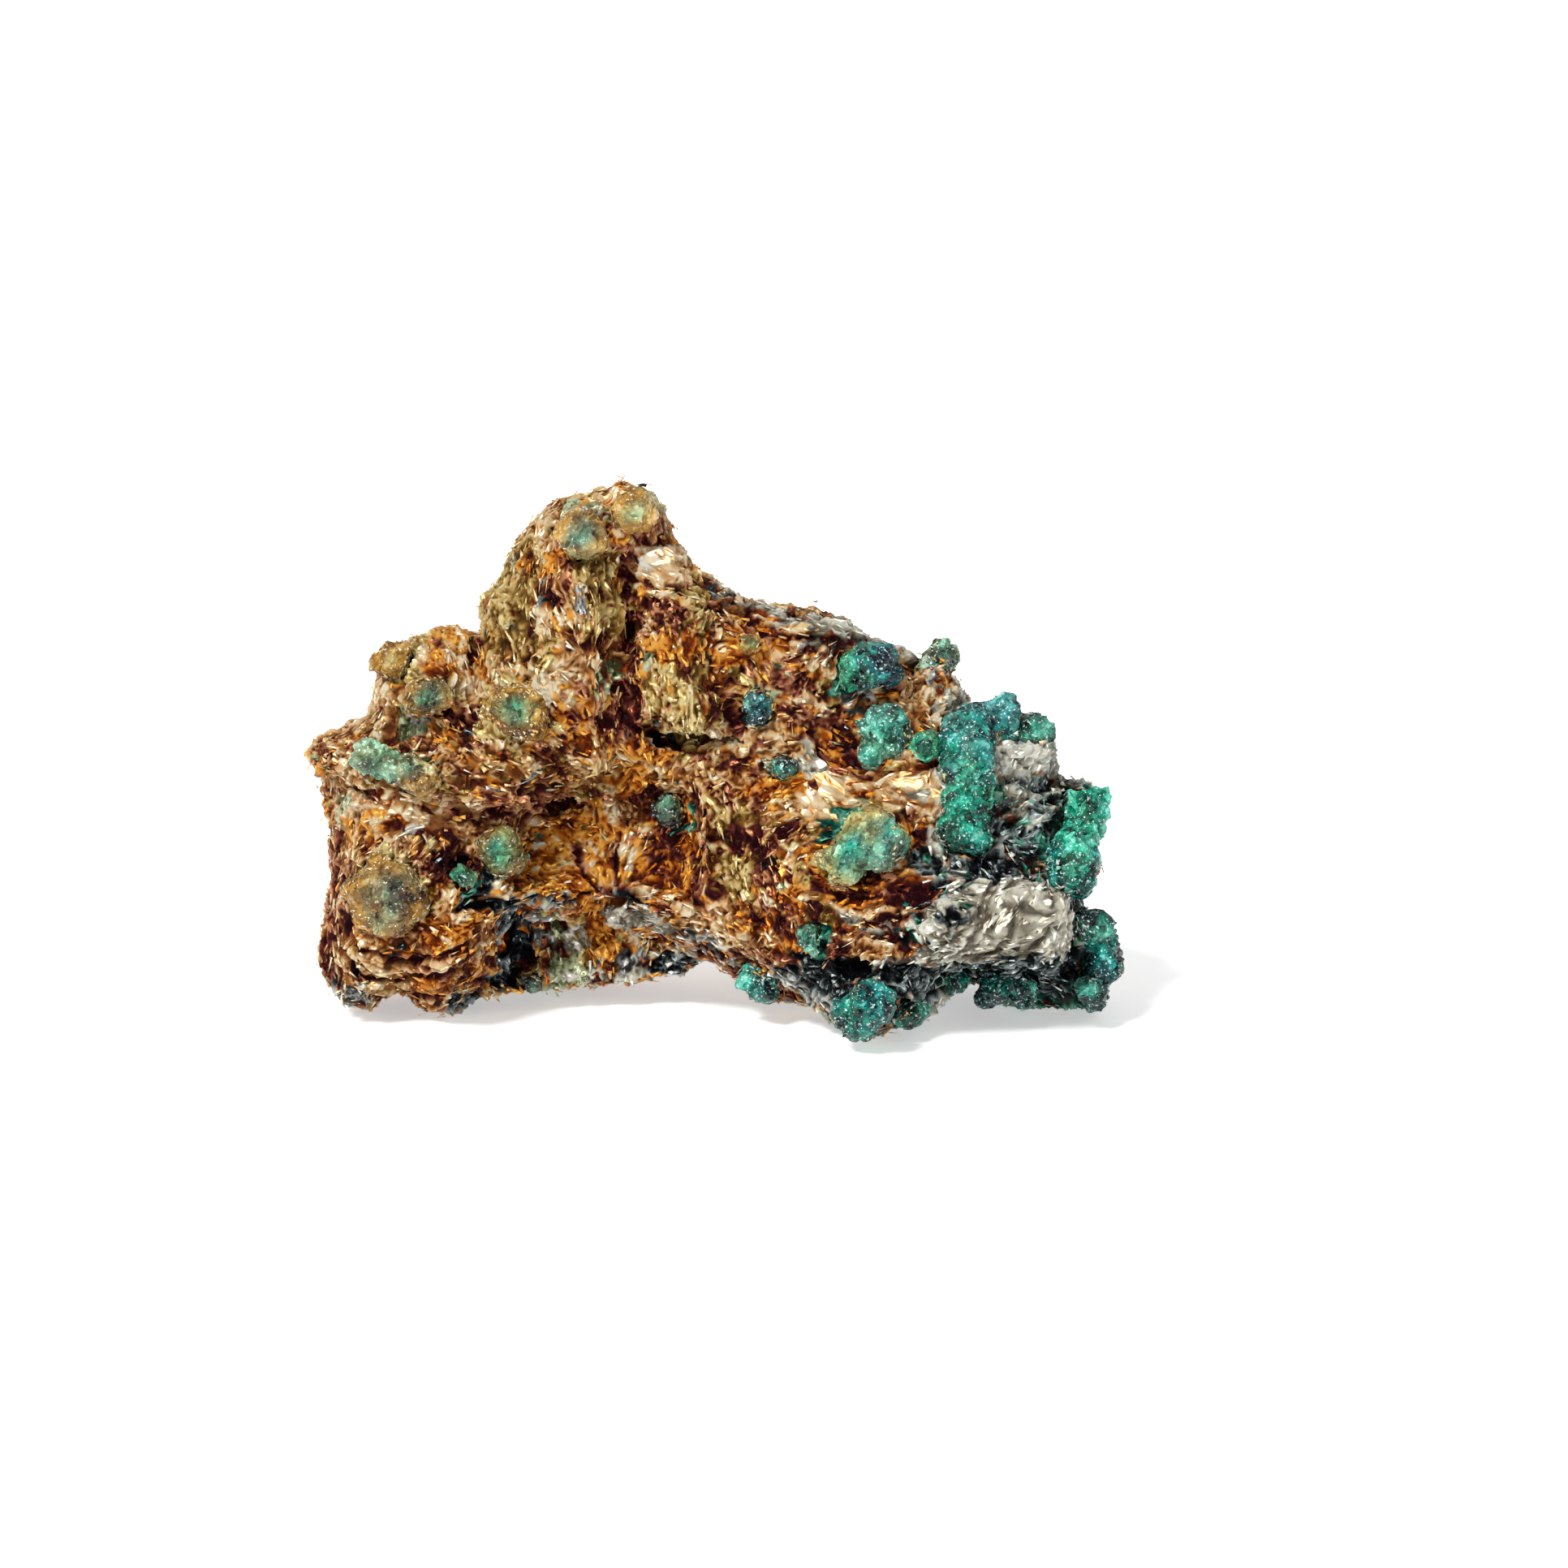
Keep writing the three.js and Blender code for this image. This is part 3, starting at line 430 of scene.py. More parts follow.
def smoothed(piece, values, rounds):
    """Values at the corners, blurred over neighbouring corners."""
    ends = np.empty(len(piece.data.edges) * 2, dtype=np.int32)
    piece.data.edges.foreach_get("vertices", ends)
    a, b = ends.reshape(-1, 2).T
    count = len(values)
    joined = np.bincount(a, minlength=count) + np.bincount(b, minlength=count) + 1
    blurred = values.copy()
    for _ in range(rounds):
        for k in range(values.shape[1]):
            near = np.bincount(a, blurred[b, k], count) + np.bincount(b, blurred[a, k], count)
            blurred[:, k] = (near + blurred[:, k]) / joined
    return blurred


def show_place(points):
    """(across, up) of points as seen square on to the show face."""
    behind = points[:, 1] - SHOW_SHIFT[1]
    up = points[:, 2] * math.cos(SHOW_TILT) + behind * math.sin(SHOW_TILT)
    return np.stack([points[:, 0] - SHOW_SHIFT[0], up], axis=1)


def streak_pull(spots, points, reach):
    """How near each spot is to a streak (1 on it, 0 past its reach), and the streak's run."""
    nearness = np.zeros(len(spots))
    run = np.zeros((len(spots), 2))
    inner, outer = (reach * share for share in STREAK_BORDER)
    for start, end in zip(np.array(points[:-1], float), np.array(points[1:], float)):
        leg = end - start
        part = np.clip((spots - start) @ leg / (leg @ leg), 0, 1)
        away = np.linalg.norm(spots - start - part[:, None] * leg, axis=1)
        near = 1 - eased(away, inner, outer)
        closer = near > nearness
        nearness = np.where(closer, near, nearness)
        run[closer] = leg / np.linalg.norm(leg)
    return nearness, run


def off_middle_of(spots, across, up, half_across, half_up):
    """How far each spot is off the middle of an oval: 0 there and 1 on its rim."""
    return np.hypot((spots[:, 0] - across) / half_across, (spots[:, 1] - up) / half_up)


def facing_show(normals):
    """1 where the surface belongs to the show face, 0 where it belongs to the back."""
    return eased(-normals[:, 1], *SHOW_EDGE)


def ragged_place(places):
    """(across, up) as show_place, but moved about so that what is drawn by it has ragged borders."""
    ragged = np.stack([clouds(places, 2.4, 61), clouds(places, 2.4, 62)], axis=1)
    return show_place(places) + RAGGEDNESS * ragged


def freshness_and_foot_shadow(places, spots):
    """1 in the fresh dark half and nearly so low along the foot at the right, where the dark is partly
    painted shadow; 0 in the iron-stained half.
    """
    # The stained half gives way to the fresh one along a slanting, wavering border.
    across, up = FRESH_FROM
    border = spots[:, 0] - across - FRESH_SLANT * (spots[:, 1] - up) + 7 * clouds(places, 11, 63)
    # Low along the foot at the right the dark tones are partly painted shadow.
    low = eased(-spots[:, 1] + 4 * clouds(places, 9, 64), -5, -1) * eased(spots[:, 0], 4, 14)
    return np.maximum(eased(border, -3, 5), 0.8 * low)


def tone_shares(places, normals):
    """The share of each tone at each place."""
    spots = ragged_place(places)
    front = facing_show(normals)
    fresh = freshness_and_foot_shadow(places, spots)
    shares = np.zeros((len(places), len(TONES)))
    for k, tone in enumerate(TONES):
        shares[:, k] = STAINED[tone] * (1 - fresh) + FRESH[tone] * fresh
        drift = 1 + TONE_DRIFT * clouds(places, 8, 70 + k)
        drift += TONE_FINE_DRIFT * clouds(places, 3, 80 + k)
        patch = np.exp((1 - front) * BACK_PATCHES * clouds(places, 11, 90 + k))
        shares[:, k] *= np.maximum(drift, 0) * patch
        pull = ZONE_PULLS.get(tone, ZONE_PULL)
        for oval in ZONES.get(tone, []):
            away = off_middle_of(spots, *oval)
            shares[:, k] += pull * front * (1 - eased(away, *ZONE_BORDER))
    names = list(TONES)
    for tone, reach, points in STREAKS:
        if reach < HAIRLINE:
            continue
        near, _ = streak_pull(spots, points, reach)
        shares[:, names.index(tone)] += STREAK_PULL * front * near
    shares = np.maximum(shares, 0) ** TONE_FIRMNESS
    return shares / shares.sum(axis=1, keepdims=True)


def face_light(places, normals):
    """How much lighter or darker the mica is for where it lies on the show face."""
    spots = show_place(places)
    total = np.zeros(len(places))
    for *oval, by in LIGHTER:
        total += by * (1 - eased(off_middle_of(spots, *oval), *LIGHT_BORDER))
    return total * facing_show(normals)


def slabness(places, normals):
    """1 where the mica lies in a wide flat slab, 0 elsewhere."""
    spots = show_place(places)
    total = np.zeros(len(places))
    for oval in SLABS:
        total = np.maximum(total, 1 - eased(off_middle_of(spots, *oval), *SLAB_BORDER))
    front = facing_show(normals)
    return total * front + (1 - front) * eased(clouds(places, 12, 47), -0.3, 0.1)


def picked_tone(shares, chance):
    """One tone number for each place, drawn by the shares."""
    drawn = chance.random(len(shares))[:, None]
    return np.minimum((np.cumsum(shares, axis=1) < drawn).sum(axis=1), len(TONES) - 1)


def fibre_run(places, normals):
    """The way the fibres run at each place, along the surface."""
    spots = show_place(places)
    run = clouds_in_space(places, 18, 31) + 0.7 * clouds_in_space(places, 6, 35)
    front = facing_show(normals)
    run = unit(run + np.outer(1 - front, BACK_RUN))
    face_across = np.array([1, 0, 0])
    face_up = np.array([0, math.sin(SHOW_TILT), math.cos(SHOW_TILT)])
    for across, up, way, half_open, reach in FANS:
        ray = spots - np.array([across, up])
        away = np.linalg.norm(ray, axis=1)
        angle = np.arctan2(ray[:, 1], ray[:, 0]) - math.radians(way)
        angle = np.abs((angle + math.pi) % (2 * math.pi) - math.pi)
        pull = front * (1 - eased(away, reach * 0.6, reach))
        pull *= 1 - eased(angle, math.radians(half_open * 0.7), math.radians(half_open * 1.2))
        turned = ray[:, :1] * face_across + ray[:, 1:] * face_up
        run = run * (1 - pull[:, None]) + unit(turned) * pull[:, None]
    for _, reach, points in STREAKS:
        near, leg = streak_pull(spots, points, reach * 1.8)
        pull = (front * near)[:, None]
        run = run * (1 - pull) + (leg[:, :1] * face_across + leg[:, 1:] * face_up) * pull
    return along_surface(run, normals)


def give(mesh, name, values):
    """Store a number or a vector for every corner, for the material to read."""
    kind = "FLOAT" if values.ndim == 1 else "FLOAT_VECTOR"
    layer = mesh.attributes.new(name, kind, "POINT")
    field = "value" if kind == "FLOAT" else "vector"
    layer.data.foreach_set(field, values.astype(np.float32).ravel())


def pits_at(points):
    """Lumps (up to 1) and the pits between them (down to -1): pits are deeper, and get painted shade
    while lumps get painted light.
    """
    return 0.45 * clouds(points, WIDE_PITS, 57) + 0.55 * clouds(points, SMALL_PITS, 58)


body = remeshed("matrix", BODY_GRAIN)
body_places = places_of(body)
body_normals = unit(smoothed(body, normals_of(body), 4))
body_out = body_normals  # which way is out, before the blades are raised
body_slab = slabness(body_places, body_normals)
body_shares = tone_shares(body_places, body_normals)

chance = np.random.default_rng(4)
blade_room = 1 - SLAB_BARE * body_slab
chosen = chance.choice(len(body_places), BLADES, replace=False, p=blade_room / blade_room.sum())
blade_middle = body_places[chosen]
blade_normal = body_normals[chosen]
stray = BLADE_STRAY * chance.normal(size=(BLADES, 3))
blade_run = fibre_run(blade_middle, blade_normal) + stray
blade_run = along_surface(blade_run, blade_normal)
blade_side = np.cross(blade_normal, blade_run)
fibrous = eased(clouds(blade_middle, 7, 49), -0.5, 0.4)
fibrous = np.maximum(fibrous, 0.7 * body_slab[chosen])
blade_stretch = BLADE_STRETCH[0] + (BLADE_STRETCH[1] - BLADE_STRETCH[0]) * fibrous
blade_tilt = chance.normal(size=(BLADES, 2)) * np.array(BLADE_TILT)
blade_tilt *= 1 - 0.5 * body_slab[chosen][:, None]
blade_step = chance.normal(size=BLADES) * LEDGE * (1 - 0.3 * body_slab[chosen])
blade_shares = tone_shares(blade_middle, blade_normal)
in_pits = eased(-pits_at(blade_middle), 0.1, 0.5) * (1 - body_slab[chosen])
blade_shares[:, list(TONES).index("maroon")] += PIT_MAROON * in_pits
blade_shares **= 1 + 2 * body_slab[chosen][:, None]
blade_shares /= blade_shares.sum(axis=1, keepdims=True)
blade_tone = picked_tone(blade_shares, chance)
# Each blade is lighter or darker, partly in tone and partly as painted sheen.
blade_light = chance.normal(size=BLADES) * BLADE_LIGHT * (1 - 0.5 * body_slab[chosen])
blade_tree = tree_of(blade_middle)


def blade_at(points):
    """The blade that each point lies in, and how far inside its ragged border it lies."""
    moved = points + BLADE_WAVER * clouds_in_space(points, 1.3, 41)
    moved += BLADE_FINE_WAVER * clouds_in_space(points, 0.5, 44)
    near = np.array([[found[1] for found in blade_tree.find_n(spot, BLADES_NEAR)] for spot in moved])
    offset = moved[:, None, :] - blade_middle[near]
    along = np.sum(offset * blade_run[near], axis=2) / blade_stretch[near]
    side = np.sum(offset * blade_side[near], axis=2)
    deep = np.sum(offset * blade_normal[near], axis=2)
    away = np.sqrt(along**2 + side**2 + deep**2)
    order = np.argsort(away, axis=1)
    rows = np.arange(len(points))
    inside = away[rows, order[:, 1]] - away[rows, order[:, 0]]
    return near[rows, order[:, 0]], inside


blade, body_inside = blade_at(body_places)
offset = body_places - blade_middle[blade]
along = np.sum(offset * blade_run[blade], axis=1)
side = np.sum(offset * blade_side[blade], axis=1)
ledge = blade_step[blade] + blade_tilt[blade, 0] * along + blade_tilt[blade, 1] * side
body_grain = [side, along / (1.2 * blade_stretch[blade]), blade * BLADES_APART]
body_grain = np.stack(body_grain, axis=1)
fibres = 1 - np.abs(clouds(body_grain, 0.8, 51)) * 2 + 0.6 * clouds(body_grain, 0.4, 56)
# The back has broken off in steps.
terrace = 2.6 * clouds(body_places, 12, 53) + 0.5 * clouds(body_places, 3, 59)
steps = np.floor(terrace) + eased(terrace - np.floor(terrace), 0.4, 0.6) - terrace
lumps = LUMP * clouds(body_places, 5, 52) + BACK_STEP * (1 - facing_show(body_normals)) * steps
pits = pits_at(body_places) * (1 - 0.6 * body_slab)
crack = (1 - eased(body_inside, *BORDER_CRACK)) * (1 - 0.6 * body_slab)
# The thin streaks are grooves where they are dark and ridges where they are pale.
spots = ragged_place(body_places)
hairlines = np.zeros(len(body_places))
for tone, reach, points in STREAKS:
    if reach <= THIN:
        near = streak_pull(spots, points, reach)[0] * facing_show(body_normals)
        hairlines += near * (0.5 if tone in ("cream", "pale") else -1)
hairlines *= eased(clouds(body_places, 2, 67), -0.7, 0.2)
# Dark mica weathers back into grooves and the pale mica stands out.
swells = body_shares @ np.array([SWELLS.get(tone, 0) for tone in TONES])
rise = np.clip(ledge, -LEDGE_LIMIT, LEDGE_LIMIT) + FIBRE_RIDGE * fibres + lumps + PIT * pits
rise = rise + swells - CRACK * crack - SETBACK + GROOVE * np.clip(hairlines, -1.2, 1)
move_to(body, body_places + body_normals * rise[:, None])
body_places = places_of(body)
body_normals = unit(smoothed(body, normals_of(body), 2))
# How deep each corner lies below the surface around it: shade is painted into the cracks and hollows.
around = smoothed(body, body_places, HOLLOW_ROUNDS)
body_hollow = np.sum((around - body_places) * body_normals, axis=1) / HOLLOW_DEPTH
body_hollow = np.clip(body_hollow, -1, 1)

# The first tone lies under all the others, so it is stored nowhere.
body_tones = smoothed(body, np.eye(len(TONES))[blade_tone[blade]], 1)
for k, tone in enumerate(TONES):
    if k:
        give(body.data, tone, body_tones[:, k])
give(body.data, "grain", body_grain)
# Painted light and shade: lumps are lighter and pits darker.
body_light = PLAIN_LIGHT + blade_light[blade] + LUMP_PAINTED_LIGHT * pits
body_light += face_light(body_places, body_normals)
body_light += HAIRLINE_DARK * hairlines
# Painted shade: the hollows are darkened.
painted_hollow_shade = HOLLOW_PAINTED_SHADE * body_hollow * (1 - 0.3 * body_slab)
body_light -= painted_hollow_shade + PIT_PAINTED_SHADE * eased(-pits, 0.1, 0.5)
body_fine = FIBRE_LIGHT * fibres + MOTTLE_LIGHT * clouds(body_places, 1.1, 54)
# Painted shade: the cracks at the blades' borders are darkened.
body_fine -= CRACK_PAINTED_SHADE * crack
give(body.data, "light", np.clip(body_light + body_fine, 0, 1))
thinned(body, BODY_FACES)


def new_look(name):
    """A new material, with its nodes, its way to link them and its shader."""
    look = bpy.data.materials.new(name)
    look.use_nodes = True
    nodes = look.node_tree.nodes
    return look, nodes, look.node_tree.links.new, nodes["Principled BSDF"]


def ramp_of(nodes, stops):
    """A colour ramp with its stops evenly spaced."""
    ramp = nodes.new("ShaderNodeValToRGB")
    marks = ramp.color_ramp.elements
    for k in range(1, len(stops) - 1):
        marks.new(k / (len(stops) - 1))
    for mark, stop in zip(marks, stops):
        mark.color = (*stop, 1)
    return ramp


def node_of(nodes, kind, inputs, **settings):
    """A new node with some of its inputs and settings set."""
    node = nodes.new("ShaderNode" + kind)
    for name, value in settings.items():
        setattr(node, name, value)
    for name, value in inputs.items():
        node.inputs[name].default_value = value
    return node


def stored(nodes, attribute):
    """What `give` stored on the corners, as a node to read it from."""
    return node_of(nodes, "Attribute", {}, attribute_name=attribute)


def lines_along(nodes, link, vector, scale, width, reach):
    """Fine wavering lines along the fibres: `reach` on a line and 0 beside it."""
    waver = node_of(nodes, "TexNoise", {"Scale": scale, "Detail": 2, "Distortion": 0.5})
    link(vector, waver.inputs["Vector"])
    past = node_of(nodes, "Math", {1: 0.5}, operation="SUBTRACT")
    link(waver.outputs["Fac"], past.inputs[0])
    away = node_of(nodes, "Math", {}, operation="ABSOLUTE")
    link(past.outputs[0], away.inputs[0])
    line = node_of(nodes, "MapRange", {"From Max": width, "To Min": reach, "To Max": 0})
    link(away.outputs[0], line.inputs["Value"])
    return line.outputs["Result"]


def sum_of(nodes, link, first, second):
    """The sum of two sockets."""
    total = node_of(nodes, "Math", {})
    link(first, total.inputs[0])
    link(second, total.inputs[1])
    return total.outputs[0]


def tones_blended(nodes, link, tones, level, share_of):
    """Each tone's ramp read at `level` and laid over the tones before it by its share."""
    colour = None
    for tone, stops in tones.items():
        ramp = ramp_of(nodes, stops)
        link(level, ramp.inputs["Fac"])
        if colour is None:
            colour = ramp.outputs["Color"]
            continue
        blend = node_of(nodes, "Mix", {}, data_type="RGBA")
        link(share_of(tone), blend.inputs["Factor"])
        link(colour, blend.inputs["A"])
        link(ramp.outputs["Color"], blend.inputs["B"])
        colour = blend.outputs["Result"]
    return colour


def schist_look(name, streaks, gloss):
    """Mica schist: every tone's ramp read at `light`, streaked along the fibres, with fine edges painted
    bright as sheen.
    """
    look, nodes, link, shader = new_look(name)
    grain = stored(nodes, "grain")
    speckle = node_of(nodes, "TexNoise", {"Scale": 2.4, "Detail": 3, "Roughness": 0.62})
    link(grain.outputs["Vector"], speckle.inputs["Vector"])
    reach = {"From Min": 0.34, "From Max": 0.66, "To Min": -streaks, "To Max": streaks}
    streak = node_of(nodes, "MapRange", reach)
    link(speckle.outputs["Fac"], streak.inputs["Value"])
    # Painted sheen: fine bright lines along the fibres.
    edges = lines_along(nodes, link, grain.outputs["Vector"], 1.6, 0.05, PAINTED_EDGE_SHEEN)
    cracks = lines_along(nodes, link, grain.outputs["Vector"], 1.2, 0.045, -DARK_CRACKS)
    relief = sum_of(nodes, link, streak.outputs["Result"], edges)
    relief = sum_of(nodes, link, relief, cracks)
    level = sum_of(nodes, link, stored(nodes, "light").outputs["Fac"], relief)

    def share_of(tone):
        """A tone ends in a ragged border that follows the fibres."""
        ragged = node_of(nodes, "Math", {1: 0.6}, operation="MULTIPLY_ADD")
        link(speckle.outputs["Fac"], ragged.inputs[0])
        link(stored(nodes, tone).outputs["Fac"], ragged.inputs[2])
        border = node_of(nodes, "MapRange", {"From Min": 0.56, "From Max": 0.8})
        link(ragged.outputs[0], border.inputs["Value"])
        return border.outputs["Result"]

    colour = tones_blended(nodes, link, TONES, level, share_of)
    link(colour, shader.inputs["Base Color"])
    bump = node_of(nodes, "Bump", {"Strength": 0.8, "Distance": 0.08 * MM})
    link(relief, bump.inputs["Height"])
    link(bump.outputs["Normal"], shader.inputs["Normal"])
    shader.inputs["Roughness"].default_value = gloss
    shader.inputs["Specular IOR Level"].default_value = 0.12
    return look


body.data.materials.append(schist_look("schist", 0.42, 0.36))
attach(body, "root")
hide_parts("matrix")

# --------------------------------------------------------------------------------------------
# The emeralds. Six-sided prisms of clear green beryl that grew in the schist and are cracked,
# sugary and partly stained by it, with painted sparkle in their white specks. Each sits in its
# own socket in the rock, which grips it.
# --------------------------------------------------------------------------------------------
CRYSTAL_GRAIN = 0.3
CRYSTAL_WEAR = 4  # rounds of smoothing that round a crystal's edges
CRYSTAL_SWELL = 0.42  # closes the model's gap between crystal and socket
BULGE, FINE_BULGE, BULGE_LIMITS = 1.1, 0.5, (-0.8, 0.7)  # the crystals' lumps and hollows
CRYSTAL_SHADE, CRYSTAL_FINE_SHADE = 0.4, 0.2  # how much lighter and darker by place
GRAINS_IN_A_METRE, SPECKS_IN_A_METRE = 1900, 2400  # how fine the beryl's grains and its specks of sugar and painted sparkle are
SUGAR_AND_SPARKLE_WHITE = (0.75, 1, 0.92, 1)
EMERALD_TONES = {
    "green": [(0, 0.012, 0.008), (0.001, 0.15, 0.08), (0.006, 0.46, 0.26), (0.2, 0.9, 0.64)],
    "blue": [(0, 0.004, 0.014), (0.001, 0.09, 0.11), (0.008, 0.32, 0.32), (0.24, 0.78, 0.76)],
    "stain": [(0.04, 0.012, 0.002), (0.22, 0.1, 0.012), (0.48, 0.26, 0.045), (0.9, 0.66, 0.28)],
}
# How blue, how stained and how light each crystal is; the rest are CRYSTAL_PLAIN.
CRYSTAL_PLAIN = (0.45, 0.05, 0.43)
CRYSTAL_KINDS = {
    "emerald_arch_right": (0.15, 0, 0.38),
    "emerald_right_edge": (0.7, 0, 0.24),
    "emerald_rounded_upper": (0.6, 0.16, 0.44),
    "emerald_bright_upper": (0.1, 0.1, 0.6),
    "emerald_dark_ridge": (0, 0.1, 0.56),
    "emerald_stub_on_ridge": (0.5, 0.42, 0.52),
    "emerald_lower_right": (0.6, 0, 0.32),
    "emerald_bottom_right": (0.5, 0, 0.2),
    "emerald_bottom_middle": (0.45, 0, 0.28),
    "emerald_bottom_small": (0.4, 0, 0.26),
    "emerald_low_small": (0.4, 0, 0.36),
    "emerald_cluster_middle": (0, 0.7, 0.6),
    "emerald_blue_middle": (1, 0.1, 0.44),
    "emerald_flat_dark": (0.7, 0.15, 0.28),
    "emerald_wedge_low": (0.3, 0.2, 0.4),
    "emerald_pale_prism_left": (0.4, 0.42, 0.7),
    "emerald_olive_lump_left": (0.3, 0.9, 0.44),
    "emerald_olive_prism_end": (0.5, 0.85, 0.38),
    "emerald_sheen_left": (0, 0.6, 0.36),
    "emerald_small_left": (0.05, 0.3, 0.3),
    "emerald_small_centre": (0.4, 0.3, 0.22),
    "emerald_peak": (0.2, 0.85, 0.62),
    "emerald_upper_tower": (0.6, 0.85, 0.5),
    "emerald_shoulder_left": (0.3, 0.9, 0.48),
    "emerald_shoulder_low": (0.5, 0.8, 0.4),
    "emerald_bottom_left": (0.4, 0.3, 0.3),
    "emerald_crest_small": (0.2, 0.6, 0.5),
}
# What some of them turn to towards one end: which way that is, then how blue, stained, light.
CRYSTAL_ENDS = {
    "emerald_dark_ridge": (0, 1, 0, 0.14),
    "emerald_arch_right": (80, 0.9, 0.05, 0.5),
    "emerald_cluster_middle": (-20, 0.75, 0.3, 0.5),
    "emerald_right_edge": (60, 0, 0, 0.68),
    "emerald_pale_prism_left": (-30, 0.3, 0.9, 0.56),
}
FACET = 14  # corners of a crystal's mesh in each of the small broken faces it is made of
FACET_SLOPE, FACET_STEP, FACET_LIMIT = 0.35, 0.1, 0.4  # how far those faces lean and stand out
FACET_WAVER = 0.3  # how ragged their borders are
FACET_LIGHT = 0.18  # how much one differs from the next
STRAIGHT = ("emerald_pale_prism_left", "emerald_stub_on_ridge")  # kept their prism shape
STRAIGHT_BULGE = 0.25  # share of the lumps that these have
SUNKEN = ("emerald_small_centre", "emerald_blue_middle", "emerald_flat_dark")
SUNKEN_BY = 0.5
STAINED_FROM = 0.5  # crystals at least this stained are cloudy
CLOUDY_CALM = 0.6  # share of the light and dark places that cloudy crystals have


def emerald_look(name, clearness, graininess, sugar_and_sparkle_share):
    """Beryl that is green or blue by place, stained in parts, with white specks of sugar and painted
    sparkle.
    """
    look, nodes, link, shader = new_look(name)
    spot = nodes.new("ShaderNodeTexCoord")
    grains = node_of(nodes, "TexVoronoi", {"Scale": GRAINS_IN_A_METRE})
    link(spot.outputs["Object"], grains.inputs["Vector"])
    light = node_of(nodes, "Math", {1: graininess}, operation="MULTIPLY_ADD")
    link(grains.outputs["Color"], light.inputs[0])
    link(stored(nodes, "light").outputs["Fac"], light.inputs[2])
    level = node_of(nodes, "Math", {1: 0.62 * graininess}, operation="SUBTRACT")
    link(light.outputs[0], level.inputs[0])

    def share_of(tone):
        return stored(nodes, tone).outputs["Fac"]

    colour = tones_blended(nodes, link, EMERALD_TONES, level.outputs[0], share_of)
    # The white specks are partly sugary grains and partly painted sparkle.
    sugar_and_sparkle_noise = {"Scale": SPECKS_IN_A_METRE, "Detail": 3, "Roughness": 0.65}
    sugar_and_sparkle_noise = node_of(nodes, "TexNoise", sugar_and_sparkle_noise)
    link(spot.outputs["Object"], sugar_and_sparkle_noise.inputs["Vector"])
    specks = node_of(nodes, "MapRange", {"From Min": 0.6, "From Max": 0.64, "To Max": sugar_and_sparkle_share})
    link(sugar_and_sparkle_noise.outputs["Fac"], specks.inputs["Value"])
    sugared_and_sparkled = node_of(nodes, "Mix", {}, data_type="RGBA")
    link(specks.outputs["Result"], sugared_and_sparkled.inputs["Factor"])
    link(colour, sugared_and_sparkled.inputs["A"])
    sugared_and_sparkled.inputs["B"].default_value = SUGAR_AND_SPARKLE_WHITE
    link(sugared_and_sparkled.outputs["Result"], shader.inputs["Base Color"])
    bump = node_of(nodes, "Bump", {"Strength": 0.7, "Distance": 0.3 * MM})
    link(grains.outputs["Distance"], bump.inputs["Height"])
    link(bump.outputs["Normal"], shader.inputs["Normal"])
    shader.inputs["Roughness"].default_value = 0.14
    shader.inputs["IOR"].default_value = 1.58
    shader.inputs["Transmission Weight"].default_value = clearness
    shader.inputs["Specular IOR Level"].default_value = 0.2
    return look


def broken_faces(places):
    """The small faces a crystal has broken into: how high each corner stands and how light it is."""
    count = len(places) // FACET
    middle = places[chance.integers(0, len(places), count)]
    faces = tree_of(middle)
    moved = places + FACET_WAVER * clouds_in_space(places, 0.9, 209)
    face = np.array([faces.find(spot)[1] for spot in moved])
    slope = FACET_SLOPE * chance.normal(size=(count, 3))[face]
    height = FACET_STEP * chance.normal(size=count)[face]
    height += np.sum(slope * (places - middle[face]), axis=1)
    light = FACET_LIGHT * chance.normal(size=count)[face]
    return np.clip(height, -FACET_LIMIT, FACET_LIMIT), light


def give_beryl_tones(mesh, places, kind, name, shade):
    """Store how blue, stained and light a crystal is; returns how far each corner is off its middle."""
    spots = show_place(places)
    middle, half = (spots.max(axis=0) + spots.min(axis=0)) / 2, np.ptp(spots, axis=0) / 2
    way, *end = CRYSTAL_ENDS.get(name, (0, *kind))
    way = np.array([math.cos(math.radians(way)), math.sin(math.radians(way))])
    along = eased(((spots - middle) / half) @ way + 0.5 * clouds(places, 1.6, 208), -0.5, 0.5)
    blue, stain, lightness = (kind + along[:, None] * (end - kind)).T
    give(mesh, "blue", np.clip(blue + 0.4 * clouds(places, 4, 204), 0, 1))
    # A stained crystal shows its green only through the middle.
    off_middle = np.linalg.norm((spots - middle) / half, axis=1)
    patchy = stain * (0.5 + 0.65 * eased(off_middle, 0.2, 0.85))
    patchy += (0.12 + stain * 0.35) * clouds(places, 2.4, 205)
    give(mesh, "stain", np.clip(patchy, 0, 1))
    give(mesh, "light", np.clip(lightness + shade, 0, 1))
    return off_middle


